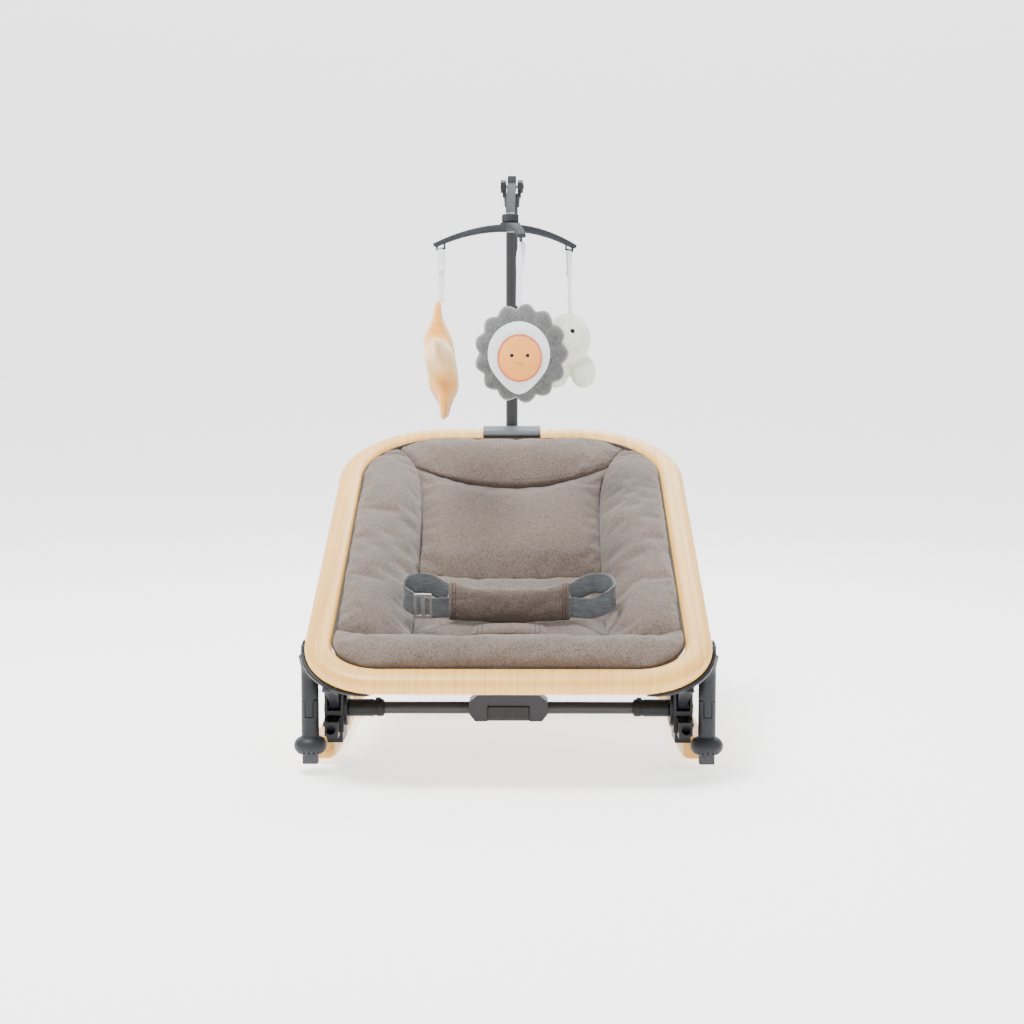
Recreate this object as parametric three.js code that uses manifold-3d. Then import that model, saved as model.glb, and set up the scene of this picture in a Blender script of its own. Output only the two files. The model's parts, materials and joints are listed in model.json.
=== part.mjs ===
// A baby bouncer seat: a rocking base, a reclining oval seat ring with a padded seat and harness,
// and a mast that holds a small carousel of three soft toys.
// Millimetres, +Z up, +Y towards the head end, +X towards the left hand of the child in the seat.
// Z = 0 is the floor under the rockers. Origin at the middle of the footprint.
import * as THREE from 'three';
import { mergeVertices } from 'three/addons/utils/BufferGeometryUtils.js';
import Module from 'manifold-3d';

const wasm = await Module();
wasm.setup();

// ---------------------------------------------------------------- driving dimensions
const GAP = 0.3;                                   // clearance between pieces that touch
const HUB_Y = -205;                                // recline axis, across the seat
const HUB_Z = 72;
const SLOPE = THREE.MathUtils.degToRad(23.67);     // seat ring above the horizontal, upright stop

// seat ring, in the ring's own frame: x across, y up the slope from the front edge, z off its top
const RING_WIDTH = 476;
const RING_LENGTH = 665;
const RING_BAR = 32;
const RING_THICK = 23;
const RING_FRONT_RADIUS = 92;
const RING_BACK_RADIUS = 150;
const RING_START = -3;
const RING_END = RING_START + RING_LENGTH;
const AXIS_UP_SLOPE = 83.5;                        // from the ring's front edge to the recline axis
const AXIS_BELOW_TOP = 95.7;

// rocker base
const ROCK_RADIUS = 500;
const ROCK_FLAT = 45;                              // half length of the flat under each rocker
const ROCK_Y = -65;                                // middle of the flat that rests on the floor
const RUNNER_X = 224.5;
const RUNNER_WIDE = 31;
const RUNNER_THICK = 28;
const RUNNER_FRONT_Y = -190;
const CROSSBAR_Y = 147;
const RUNNER_CORNER = 49;                          // plan radius of the rear corners' centreline
const CROSSBAR_HALF = 150;

// hubs, cross tube and release
const HUB_IN = 194;                                // inner face of the hub housing, from the middle
const HUB_OUT = 216.5;
const HUB_WALL = 3.2;
const COVER_THICK = 3.2;
const TUBE_RADIUS = 7.3;
const TUBE_BORE = 5.2;
const SLEEVE_RADIUS = 10.4;
const SLEEVE_END = 148;
const RELEASE_HALF = 46.5;
const RELEASE_HIGH = 31;
const RELEASE_DEEP = 30;
const BUTTON_HALF = 24.6;
const BUTTON_HIGH = 18.4;
const BUTTON_TRAVEL = 3;
const BOLT_RADIUS = 4;
const KNUCKLE_RADIUS = 12.5;
const KNUCKLE_IN = 199;
const KNUCKLE_OUT = 211.5;

// legs and feet
const LEG_X = 232.5;
const LEG_Y = -235;
const LEG_RADIUS = 10.35;
const LEG_SEAM_Z = 80;
const TONGUE_HALF = 4.7;
const TONGUE_LOW_Z = 68;
const TONGUE_HIGH_Z = 92;
const KNOB_RADIUS = 19.4;
const KNOB_LOW_Z = 21.6;
const KNOB_HIGH_Z = 44.3;
const PAD_WIDE = 17.8;
const PAD_DEEP = 14;
const PAD_LOW_Z = 12;

// toy bar
const MAST_Y = 308;
const MAST_RADIUS = 8.7;
const MAST_FOOT_Z = 352;
const ARM_PIVOT_Z = 742;
const CLAMP_HALF = 41.5;
const SPIDER_Y = 20;
const SPIDER_Z = 661;
const SPIDER_ARM = 108;
const SPIDER_DROP = 21;
const SPIDER_TURN = THREE.MathUtils.degToRad(8);
const TOY_RADIUS = 99;                             // where the ribbons hang, from the carousel axis

// ---------------------------------------------------------------- materials
function material(color, roughness, metalness = 0) {
  return new THREE.MeshStandardMaterial({ color, roughness, metalness });
}
const WOOD = material(0xecd0aa, 0.5);
const SLATE = material(0x5f6468, 0.5);
const CHARCOAL = material(0x3e3e42, 0.45);
const BLACK = material(0x222225, 0.5);
const RUBBER = material(0x4a4c50, 0.8);
const STEEL = material(0xb8bcc0, 0.35, 0.9);
const FABRIC = material(0xa09287, 0.95);
const SHELL_FABRIC = material(0x8c8178, 0.95);
const WEBBING = material(0x828c91, 0.6);
const SILVER = material(0xc8ccd0, 0.35, 0.6);
const RIBBON = material(0xf2f1f6, 0.7);
const ORANGE = material(0xf3b27c, 0.95);
const GREY_PLUSH = material(0x8f8f94, 0.95);
const CREAM = material(0xf1efe6, 0.95);

// ---------------------------------------------------------------- geometry helpers
function signedVolume(geometry) {
  const p = geometry.attributes.position;
  const index = geometry.index;
  const [a, b, c] = [new THREE.Vector3(), new THREE.Vector3(), new THREE.Vector3()];
  let volume = 0;
  for (let i = 0; i < index.count; i += 3) {
    a.fromBufferAttribute(p, index.getX(i));
    b.fromBufferAttribute(p, index.getX(i + 1));
    c.fromBufferAttribute(p, index.getX(i + 2));
    volume += a.dot(b.cross(c)) / 6;
  }
  return volume;
}

function facingOut(geometry) {
  if (signedVolume(geometry) < 0) geometry.index.array.reverse();
  return geometry;
}

function closedBody(positions, faces) {
  const geometry = new THREE.BufferGeometry();
  geometry.setAttribute('position', new THREE.Float32BufferAttribute(positions, 3));
  geometry.setIndex(faces);
  return facingOut(geometry);
}

function toManifold(geometry) {
  const plain = geometry.clone();
  plain.deleteAttribute('normal');
  plain.deleteAttribute('uv');
  const merged = mergeVertices(plain, 1e-4);
  return new wasm.Manifold(new wasm.Mesh({
    numProp: 3,
    vertProperties: new Float32Array(merged.attributes.position.array),
    triVerts: new Uint32Array(merged.index.array),
  }));
}

function toGeometry(solid) {
  const mesh = solid.getMesh();
  const geometry = new THREE.BufferGeometry();
  geometry.setAttribute('position', new THREE.Float32BufferAttribute(mesh.vertProperties, 3));
  geometry.setIndex(Array.from(mesh.triVerts));
  return geometry;
}

function join(first, ...others) {
  return toGeometry(others.reduce((all, one) => all.add(toManifold(one)), toManifold(first)));
}

function cut(first, ...others) {
  return toGeometry(others.reduce((all, one) => all.subtract(toManifold(one)), toManifold(first)));
}

function mirrored(geometry) {
  const indexed = mergeVertices(geometry.clone().deleteAttribute('normal').deleteAttribute('uv'), 1e-4);
  return facingOut(indexed.applyMatrix4(new THREE.Matrix4().makeScale(-1, 1, 1)));
}

// the +X piece for side 1, its mirror image for side -1
function onSide(side, geometry) {
  return side > 0 ? geometry : mirrored(geometry);
}

function box(x0, x1, y0, y1, z0, z1) {
  const geometry = new THREE.BoxGeometry(x1 - x0, y1 - y0, z1 - z0);
  return geometry.translate((x0 + x1) / 2, (y0 + y1) / 2, (z0 + z1) / 2);
}

function cylinderX(radius, x0, x1, y, z, segments = 24) {
  const geometry = new THREE.CylinderGeometry(radius, radius, x1 - x0, segments);
  return geometry.rotateZ(-Math.PI / 2).translate((x0 + x1) / 2, y, z);
}

function cylinderY(radius, y0, y1, x, z, segments = 24) {
  return new THREE.CylinderGeometry(radius, radius, y1 - y0, segments).translate(x, (y0 + y1) / 2, z);
}

function cylinderZ(radius, z0, z1, x, y, segments = 24) {
  const geometry = new THREE.CylinderGeometry(radius, radius, z1 - z0, segments);
  return geometry.rotateX(Math.PI / 2).translate(x, y, (z0 + z1) / 2);
}

// a profile of [radius, height] turned about +Z
function turned(profile, segments = 24) {
  const points = profile.map(([radius, height]) => new THREE.Vector2(radius, height));
  return new THREE.LatheGeometry(points, segments).rotateX(Math.PI / 2);
}

// a shape drawn in (x, y), pulled up by a depth
function extruded(shape, depth, curveSegments = 4) {
  return new THREE.ExtrudeGeometry(shape, { depth, bevelEnabled: false, curveSegments });
}

// a shape drawn in (Y, Z), pulled along X from x0 to x1
function slabX(shape, x0, x1, curveSegments = 8) {
  const geometry = extruded(shape, x1 - x0, curveSegments);
  const basis = new THREE.Matrix4().makeBasis(
    new THREE.Vector3(0, 1, 0), new THREE.Vector3(0, 0, 1), new THREE.Vector3(1, 0, 0));
  return geometry.applyMatrix4(basis).translate(x0, 0, 0);
}

function roundedRectangle(width, height, radius) {
  const [a, b] = [width / 2 - radius, height / 2 - radius];
  const shape = new THREE.Shape();
  shape.absarc(a, -b, radius, -Math.PI / 2, 0, false);
  shape.absarc(a, b, radius, 0, Math.PI / 2, false);
  shape.absarc(-a, b, radius, Math.PI / 2, Math.PI, false);
  shape.absarc(-a, -b, radius, Math.PI, 1.5 * Math.PI, false);
  shape.closePath();
  return shape;
}

function polygon(points) {
  return new THREE.Shape(points.map(([a, b]) => new THREE.Vector2(a, b)));
}

// an oval with flattened sides, as a list of [across, up] points with a flat on each of its four sides
function superellipse(wide, high, points, power = 3) {
  const reach = Math.cos(Math.PI / points) ** (2 / power);
  const outline = [];
  for (let i = 0; i < points; i++) {
    const angle = ((i + 0.5) / points) * 2 * Math.PI;
    const [c, s] = [Math.cos(angle), Math.sin(angle)];
    const a = Math.sign(c) * Math.abs(c) ** (2 / power) * (wide / 2 / reach);
    const b = Math.sign(s) * Math.abs(s) ** (2 / power) * (high / 2 / reach);
    outline.push([a, b]);
  }
  return outline;
}

// cap triangles of an outline, wound the way the outline runs
function capTriangles(outline) {
  const points = outline.map(([a, b]) => new THREE.Vector2(a, b));
  const wanted = Math.sign(THREE.ShapeUtils.area(points));
  return THREE.ShapeUtils.triangulateShape(points, []).map(([i, j, k]) => {
    const turn = THREE.ShapeUtils.area([points[i], points[j], points[k]]);
    return Math.sign(turn) === wanted ? [i, j, k] : [i, k, j];
  });
}

// stations are { at, across, up }; sectionAt(i) gives the [across, up] outline of station i
function sweep(stations, sectionAt, closed = false) {
  const count = sectionAt(0).length;
  const positions = [];
  stations.forEach((station, i) => {
    for (const [a, b] of sectionAt(i)) {
      const point = station.at.clone();
      point.addScaledVector(station.across, a).addScaledVector(station.up, b);
      positions.push(point.x, point.y, point.z);
    }
  });
  const faces = [];
  const last = stations.length - 1;
  for (let i = 0; i < (closed ? stations.length : last); i++) {
    const here = i * count;
    const next = ((i + 1) % stations.length) * count;
    for (let j = 0; j < count; j++) {
      const k = (j + 1) % count;
      faces.push(here + j, next + j, next + k, here + j, next + k, here + k);
    }
  }
  if (!closed) {
    for (const [i, j, k] of capTriangles(sectionAt(0))) faces.push(i, j, k);
    const end = last * count;
    for (const [i, j, k] of capTriangles(sectionAt(last))) faces.push(end + i, end + k, end + j);
  }
  return closedBody(positions, faces);
}

// stations along a curve; the section's "up" stays as near as it can to the given direction
function stationsAlong(curve, steps, up) {
  const stations = [];
  for (let i = 0; i <= steps; i++) {
    const tangent = curve.getTangentAt(i / steps);
    const across = new THREE.Vector3().crossVectors(tangent, up).normalize();
    const upright = new THREE.Vector3().crossVectors(across, tangent).normalize();
    stations.push({ at: curve.getPointAt(i / steps), across, up: upright });
  }
  return stations;
}

// a solid between two surfaces over a grid: place(u, v) gives [x, y], under and over give z
function quilt(across, along, place, under, over) {
  const positions = [];
  for (const surface of [under, over]) {
    for (let j = 0; j <= along; j++) {
      for (let i = 0; i <= across; i++) {
        const [u, v] = [i / across, j / along];
        const [x, y] = place(u, v);
        positions.push(x, y, surface(x, y, u, v));
      }
    }
  }
  const row = across + 1;
  const layer = row * (along + 1);
  const faces = [];
  const quad = (a, b, c, d) => faces.push(a, b, c, a, c, d);
  for (let j = 0; j < along; j++) {
    for (let i = 0; i < across; i++) {
      const corner = j * row + i;
      quad(corner, corner + row, corner + row + 1, corner + 1);
      quad(layer + corner, layer + corner + 1, layer + corner + row + 1, layer + corner + row);
    }
    const [left, right] = [j * row, j * row + across];
    quad(left, left + layer, left + layer + row, left + row);
    quad(right, right + row, right + layer + row, right + layer);
  }
  for (let i = 0; i < across; i++) {
    const far = along * row + i;
    quad(i, i + 1, i + 1 + layer, i + layer);
    quad(far, far + layer, far + 1 + layer, far + 1);
  }
  return closedBody(positions, faces);
}

const { clamp, lerp, smoothstep } = THREE.MathUtils;

// a smooth curve through [place, value] pairs, read at any place
function graph(pairs) {
  const curve = new THREE.SplineCurve(pairs.map(([a, b]) => new THREE.Vector2(a, b)));
  const samples = curve.getPoints(pairs.length * 8);
  return (place) => {
    const after = samples.findIndex((point) => point.x >= place);
    if (after === 0) return samples[0].y;
    if (after < 0) return samples[samples.length - 1].y;
    const [p, q] = [samples[after - 1], samples[after]];
    return lerp(p.y, q.y, (place - p.x) / Math.max(q.x - p.x, 1e-6));
  };
}

// ---------------------------------------------------------------- assembly
const object = new THREE.Group();
const seat = new THREE.Group();                    // turns about the recline axis
seat.position.set(0, HUB_Y, HUB_Z);
seat.rotation.x = SLOPE;
object.add(seat);
const ring = new THREE.Group();                    // the seat ring's own frame
ring.position.set(0, -AXIS_UP_SLOPE, AXIS_BELOW_TOP);
seat.add(ring);
object.updateMatrixWorld(true);
const toRing = ring.matrixWorld.clone().invert();

function add(parent, name, geometry, look) {
  const mesh = new THREE.Mesh(geometry, look);
  mesh.name = name;
  parent.add(mesh);
}

const SIDES = [['left', -1], ['right', 1]];

// ---------------------------------------------------------------- rocker base
// a flat plan point (x, y) and a height above the underside, bent onto the rocking curve
function onRocker(x, y, high) {
  const along = y - ROCK_Y;
  const beyond = Math.max(Math.abs(along) - ROCK_FLAT, 0);
  const angle = beyond / ROCK_RADIUS;
  const reach = Math.min(Math.abs(along), ROCK_FLAT) + (ROCK_RADIUS - high) * Math.sin(angle);
  const lift = ROCK_RADIUS - (ROCK_RADIUS - high) * Math.cos(angle);
  return new THREE.Vector3(x, ROCK_Y + Math.sign(along) * reach, lift);
}

function bentOntoRocker(geometry) {
  const p = geometry.attributes.position;
  for (let i = 0; i < p.count; i++) {
    const point = onRocker(p.getX(i), p.getY(i), p.getZ(i));
    p.setXYZ(i, point.x, point.y, point.z);
  }
  return facingOut(geometry);
}

function runnerSection(grow = 0) {
  return superellipse(RUNNER_WIDE + 2 * grow, RUNNER_THICK + 2 * grow, 12, 4.2);
}

// from the hub back along the side, round the rear corner to the crossbar joint
function runner(grow = 0) {
  const middle = RUNNER_THICK / 2;
  const straight = 14;
  const turn = 6;
  const stations = [];
  const up = new THREE.Vector3(0, 0, 1);
  const cornerY = CROSSBAR_Y - RUNNER_CORNER;
  for (let i = 0; i <= straight; i++) {
    const y = lerp(RUNNER_FRONT_Y - grow, cornerY, i / straight);
    stations.push({ at: new THREE.Vector3(RUNNER_X, y, middle), across: new THREE.Vector3(1, 0, 0), up });
  }
  for (let i = 1; i <= turn; i++) {
    const angle = (i / turn) * Math.PI / 2;
    const across = new THREE.Vector3(Math.cos(angle), Math.sin(angle), 0);
    const at = new THREE.Vector3(RUNNER_X - RUNNER_CORNER, cornerY, middle);
    stations.push({ at: at.addScaledVector(across, RUNNER_CORNER), across, up });
  }
  const end = new THREE.Vector3(CROSSBAR_HALF, CROSSBAR_Y, middle);
  stations.push({ at: end, across: new THREE.Vector3(0, 1, 0), up });
  return bentOntoRocker(sweep(stations, () => runnerSection(grow)));
}

function crossbar() {
  const across = new THREE.Vector3(0, 1, 0);
  const up = new THREE.Vector3(0, 0, 1);
  const reach = CROSSBAR_HALF - GAP;
  const stations = [-reach, 0, reach].map((x) => (
    { at: new THREE.Vector3(x, CROSSBAR_Y, RUNNER_THICK / 2), across, up }));
  return bentOntoRocker(sweep(stations, () => runnerSection()));
}

for (const [word, side] of SIDES) {
  add(object, `rocker_runner_${word}`, onSide(side, runner()), WOOD);
}
add(object, 'rear_crossbar', crossbar(), WOOD);

// ---------------------------------------------------------------- hubs
const HUB_FRONT = HUB_Y - 24;
const HUB_BACK = HUB_Y + 28;
const HUB_LOW = HUB_Z - 25;
const HUB_TOP = HUB_Z + 36;
const LEDGE_HIGH = HUB_Z + 0.5;
const LUG_FRONT = HUB_Y - 40;
const LUG_LOW = 43;
const LUG_HIGH = 63.5;
const LUG_HOLE = 5.8;
const FOOT_SWING_X = LEG_X - KNOB_RADIUS - GAP;      // the foot passes outside this as the seat reclines

// side view of the hub: tall at the front, falling away behind
function hubOutline() {
  const shape = new THREE.Shape();
  shape.moveTo(HUB_FRONT, HUB_LOW);
  shape.lineTo(HUB_BACK, HUB_LOW);
  shape.lineTo(HUB_BACK, HUB_Z);
  shape.quadraticCurveTo(HUB_BACK, HUB_TOP - 6, HUB_Y + 6, HUB_TOP);
  shape.lineTo(HUB_FRONT + 4, HUB_TOP);
  shape.quadraticCurveTo(HUB_FRONT, HUB_TOP, HUB_FRONT, HUB_TOP - 5);
  shape.closePath();
  return shape;
}

// the block in front of the hub, with two ridges running down its sloping top
function lug() {
  const back = HUB_FRONT + 6;
  const profile = polygon([
    [LUG_FRONT, LUG_LOW], [back, LUG_LOW], [back, HUB_Z - 5],
    [LUG_FRONT + 9, LUG_HIGH - 1.5], [LUG_FRONT, LUG_HIGH - 1.5]]);
  const body = slabX(profile, KNUCKLE_IN, HUB_OUT);
  const ridgeProfile = polygon([
    [LUG_FRONT + 1, LUG_HIGH - 3], [back, HUB_Z - 9], [back, HUB_Z - 2.4], [LUG_FRONT + 7, LUG_HIGH]]);
  const ridges = [KNUCKLE_IN + 3, HUB_OUT - 5.4].map((x) => slabX(ridgeProfile, x, x + 2.4));
  const middle = (KNUCKLE_IN + HUB_OUT) / 2;
  const hole = cylinderY(LUG_HOLE, LUG_FRONT - 1, LUG_FRONT + 16, middle, (LUG_LOW + LUG_HIGH) / 2);
  const footRoom = box(FOOT_SWING_X, HUB_OUT + 1, LUG_FRONT - 1, LUG_FRONT + 13.5, LUG_LOW - 1, LUG_LOW + 14);
  return cut(join(body, ...ridges), hole, footRoom);
}

function hubHousing() {
  const body = slabX(hubOutline(), HUB_IN, HUB_OUT, 10);
  const inside = [HUB_IN + HUB_WALL, HUB_OUT - HUB_WALL];
  const upperPocket = box(...inside, HUB_FRONT - 1, HUB_Y + 15.5, LEDGE_HIGH, HUB_TOP + 1);
  const swing = box(...inside, HUB_FRONT + 8.5, HUB_Y + 15.5, HUB_Z - 15, HUB_TOP + 1);
  const lowerPocket = box(...inside, HUB_FRONT - 1, HUB_FRONT + 7, LUG_HIGH + 1, LEDGE_HIGH - 5);
  const foot = box(KNUCKLE_IN, HUB_OUT + 1.5, HUB_Y + 12, HUB_Y + 60, 27, HUB_LOW + 5);
  const footSlope = slabX(polygon([
    [HUB_Y + 30, HUB_LOW + 6], [HUB_Y + 61, HUB_LOW + 6], [HUB_Y + 61, 36]]), 190, 230);
  const boltHole = cylinderX(BOLT_RADIUS + GAP, HUB_IN - 1, HUB_OUT + 1, HUB_Y, HUB_Z);
  const screwHole = cylinderZ(2.6, 30, 60, HUB_OUT - 3.4, HUB_Y + 50, 16);
  const shaped = cut(join(body, lug(), foot), upperPocket, swing, lowerPocket, footSlope);
  return cut(shaped, runner(GAP), boltHole, screwHole);
}

// black cover on the hub's inner face; the cross tube passes through it
function hubCover() {
  const shape = new THREE.Shape();
  shape.absarc(HUB_Y, HUB_Z, 21, Math.PI, 2 * Math.PI, false);
  shape.lineTo(HUB_Y + 21, HUB_Z + 6);
  shape.quadraticCurveTo(HUB_Y + 20, HUB_Z + 22, HUB_Y, HUB_Z + 22);
  shape.quadraticCurveTo(HUB_Y - 20, HUB_Z + 22, HUB_Y - 21, HUB_Z + 6);
  shape.closePath();
  const plate = slabX(shape, HUB_IN - GAP - COVER_THICK, HUB_IN - GAP, 14);
  return cut(plate, cylinderX(TUBE_RADIUS + GAP, HUB_IN - 10, HUB_IN + 1, HUB_Y, HUB_Z));
}

// the bolt the seat's knuckle turns on, with a low round head outside the hub
function pivotBolt() {
  const shank = cylinderX(BOLT_RADIUS, HUB_IN + 1, HUB_OUT + 0.6, HUB_Y, HUB_Z, 24);
  const head = cylinderX(7.5, HUB_OUT + GAP, HUB_OUT + 2.6, HUB_Y, HUB_Z, 24);
  const socket = cylinderX(2.5, HUB_OUT + 0.9, HUB_OUT + 3, HUB_Y, HUB_Z, 6);
  return cut(join(shank, head), socket);
}

function hubScrew() {
  const head = cylinderZ(2.2, 35, 40, HUB_OUT - 3.4, HUB_Y + 50, 16);
  return cut(head, box(HUB_OUT - 6, HUB_OUT, HUB_Y + 49.6, HUB_Y + 50.4, 39.3, 41));
}

for (const [word, side] of SIDES) {
  add(object, `hub_housing_${word}`, onSide(side, hubHousing()), CHARCOAL);
  add(object, `hub_cover_${word}`, onSide(side, hubCover()), BLACK);
  add(object, `pivot_bolt_${word}`, onSide(side, pivotBolt()), STEEL);
  add(object, `hub_screw_${word}`, onSide(side, hubScrew()), STEEL);
}

// ---------------------------------------------------------------- cross tube and release
const ROD_RADIUS = 1.6;
const ROD_INNER_END = 12;
const SPRING_TURNS = 2;
const SPRING_WIRE = 0.8;

function crossTube() {
  const length = HUB_IN - 1;
  const outside = cylinderX(TUBE_RADIUS, -length, length, HUB_Y, HUB_Z);
  const bore = cylinderX(TUBE_BORE, -length - 1, length + 1, HUB_Y, HUB_Z);
  const window = box(-14, 14, HUB_Y - TUBE_RADIUS - 1, HUB_Y, HUB_Z - 4, HUB_Z + 4);
  return cut(outside, bore, window);
}

// the thicker sleeve at each end of the tube, with a chamfer and a raised screw boss on top
function tubeSleeve() {
  const start = HUB_IN - GAP - COVER_THICK - GAP;
  const points = [
    [TUBE_RADIUS + GAP, SLEEVE_END], [SLEEVE_RADIUS - 2, SLEEVE_END], [SLEEVE_RADIUS, SLEEVE_END + 2.5],
    [SLEEVE_RADIUS, start], [TUBE_RADIUS + GAP, start], [TUBE_RADIUS + GAP, SLEEVE_END]];
  const sleeve = turned(points).rotateY(Math.PI / 2).translate(0, HUB_Y, HUB_Z);
  const bossTop = HUB_Z + SLEEVE_RADIUS + 1.6;
  const boss = cylinderZ(3.4, HUB_Z + TUBE_RADIUS + 1, bossTop, SLEEVE_END + 7, HUB_Y, 12);
  return join(sleeve, boss);
}

// front view of the release housing: a bar with cut corners
function releaseShape(inset = 0) {
  const [a, b] = [RELEASE_HALF - inset, RELEASE_HIGH / 2 - inset];
  return polygon([
    [-a + 7, -b], [a - 7, -b], [a, -b + 9], [a, b - 8],
    [a - 10, b], [-a + 10, b], [-a, b - 8], [-a, -b + 9]]);
}

function slabY(shape, y0, y1, z) {
  const geometry = extruded(shape, y1 - y0, 8);
  return geometry.rotateX(Math.PI / 2).translate(0, y1, z);
}

const RELEASE_Z = HUB_Z + 2.5;
const RELEASE_FRONT = HUB_Y - RELEASE_DEEP / 2 - 3;
const RELEASE_SPLIT = HUB_Y;
const RELEASE_BACK = HUB_Y + RELEASE_DEEP / 2 - 3;
const BUTTON_Z = RELEASE_Z - RELEASE_HIGH / 2 + BUTTON_HIGH / 2;

function releaseShell(y0, y1, hollowFrom, hollowTo) {
  const outside = slabY(releaseShape(), y0, y1, RELEASE_Z);
  const hollow = slabY(releaseShape(2.4), hollowFrom, hollowTo, RELEASE_Z);
  const tubeHole = cylinderX(TUBE_RADIUS + GAP, -RELEASE_HALF - 1, RELEASE_HALF + 1, HUB_Y, HUB_Z);
  return cut(outside, hollow, tubeHole);
}

function releaseFront() {
  const shell = releaseShell(RELEASE_FRONT, RELEASE_SPLIT - GAP, RELEASE_FRONT + 2.6, RELEASE_SPLIT + 1);
  const opening = box(-BUTTON_HALF - GAP, BUTTON_HALF + GAP, RELEASE_FRONT - 1, RELEASE_FRONT + 4,
    BUTTON_Z - BUTTON_HIGH / 2 - 1, BUTTON_Z + BUTTON_HIGH / 2 + GAP);
  return cut(shell, opening);
}

function releaseRear() {
  return releaseShell(RELEASE_SPLIT, RELEASE_BACK, RELEASE_SPLIT - 1, RELEASE_BACK - 2.4);
}

function releaseButton() {
  const [low, high] = [BUTTON_Z - BUTTON_HIGH / 2 + 2.8, BUTTON_Z + BUTTON_HIGH / 2];
  const face = new THREE.ExtrudeGeometry(roundedRectangle(2 * BUTTON_HALF, high - low, 3), {
    depth: 3.6, bevelEnabled: true, bevelThickness: 1.2, bevelSize: 1.2, bevelOffset: -1.2, bevelSegments: 1,
    curveSegments: 4 });
  face.rotateX(Math.PI / 2).translate(0, RELEASE_FRONT + 2.6, (low + high) / 2);
  const stem = box(-5, 5, RELEASE_FRONT + 2, HUB_Y - TUBE_RADIUS - BUTTON_TRAVEL + 1.6, HUB_Z - 3, HUB_Z + 3);
  return join(face, stem);
}

// a pull rod inside the tube that ends in the lock pin at the hub
function lockRod() {
  const rod = cylinderX(ROD_RADIUS, ROD_INNER_END, HUB_IN - 16, HUB_Y, HUB_Z, 12);
  const pin = cylinderX(4.2, HUB_IN - 22, HUB_IN - 3, HUB_Y, HUB_Z, 20);
  return join(rod, pin);
}

// a light coil spring between the button and the cross tube, drawn at its working length
function buttonSpring() {
  const [start, end] = [RELEASE_FRONT + 4.6, HUB_Y - TUBE_RADIUS - 0.8];
  class Helix extends THREE.Curve {
    getPoint(t, target = new THREE.Vector3()) {
      const angle = t * SPRING_TURNS * 2 * Math.PI;
      return target.set(9 + 2.6 * Math.cos(angle), lerp(start, end, t), HUB_Z + 2.6 * Math.sin(angle));
    }
  }
  const stations = stationsAlong(new Helix(), SPRING_TURNS * 12, new THREE.Vector3(0, 1, 0));
  return sweep(stations, () => superellipse(SPRING_WIRE, SPRING_WIRE, 5, 2));
}

add(object, 'cross_tube', crossTube(), CHARCOAL);
for (const [word, side] of SIDES) {
  add(object, `tube_sleeve_${word}`, onSide(side, tubeSleeve()), BLACK);
  add(object, `lock_rod_${word}`, onSide(side, lockRod()), STEEL);
}
add(object, 'release_housing_front', releaseFront(), CHARCOAL);
add(object, 'release_housing_rear', releaseRear(), CHARCOAL);
add(object, 'release_button', releaseButton(), SLATE);
add(object, 'button_spring', buttonSpring(), STEEL);

// ---------------------------------------------------------------- seat ring
function ringStations(inset, steps = 7) {
  const half = RING_WIDTH / 2 - inset;
  const corners = [
    [half - RING_FRONT_RADIUS + inset, RING_START + RING_FRONT_RADIUS, RING_FRONT_RADIUS - inset, -90],
    [half - RING_BACK_RADIUS + inset, RING_END - RING_BACK_RADIUS, RING_BACK_RADIUS - inset, 0],
    [-half + RING_BACK_RADIUS - inset, RING_END - RING_BACK_RADIUS, RING_BACK_RADIUS - inset, 90],
    [-half + RING_FRONT_RADIUS - inset, RING_START + RING_FRONT_RADIUS, RING_FRONT_RADIUS - inset, 180]];
  const up = new THREE.Vector3(0, 0, 1);
  return corners.flatMap(([x, y, radius, start]) => {
    const stations = [];
    for (let i = 0; i <= steps; i++) {
      const angle = THREE.MathUtils.degToRad(start + (90 * i) / steps);
      const across = new THREE.Vector3(Math.cos(angle), Math.sin(angle), 0);
      stations.push({ at: new THREE.Vector3(x, y, 0).addScaledVector(across, radius), across, up });
    }
    return stations;
  });
}

function ringSolid(grow = 0) {
  const section = superellipse(RING_BAR + 2 * grow, RING_THICK + 2 * grow, 16, 2.8);
  const lowered = section.map(([a, b]) => [a, b - RING_THICK / 2]);
  return sweep(ringStations(RING_BAR / 2), () => lowered, true);
}

add(ring, 'seat_ring', ringSolid(), WOOD);

// ---------------------------------------------------------------- corner brackets and legs
const CRESCENT_START_DEG = -84;                    // round the corner, 0 faces sideways
const CRESCENT_STEPS = 9;
const CRESCENT_RAIL_Y = 100;
const BRACKET_GAP = 1;                             // clearance between the ring and the bracket

// a point on the ring's section, pushed out by a distance; 0 degrees faces out, -90 faces down
function sectionPoint(degrees, out) {
  const angle = THREE.MathUtils.degToRad(degrees);
  const [c, s] = [Math.cos(angle), Math.sin(angle)];
  const power = 2 / 2.8;
  const a = Math.sign(c) * Math.abs(c) ** power * (RING_BAR / 2 + out);
  const b = Math.sign(s) * Math.abs(s) ** power * (RING_THICK / 2 + out);
  return [a, b - RING_THICK / 2];
}

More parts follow.
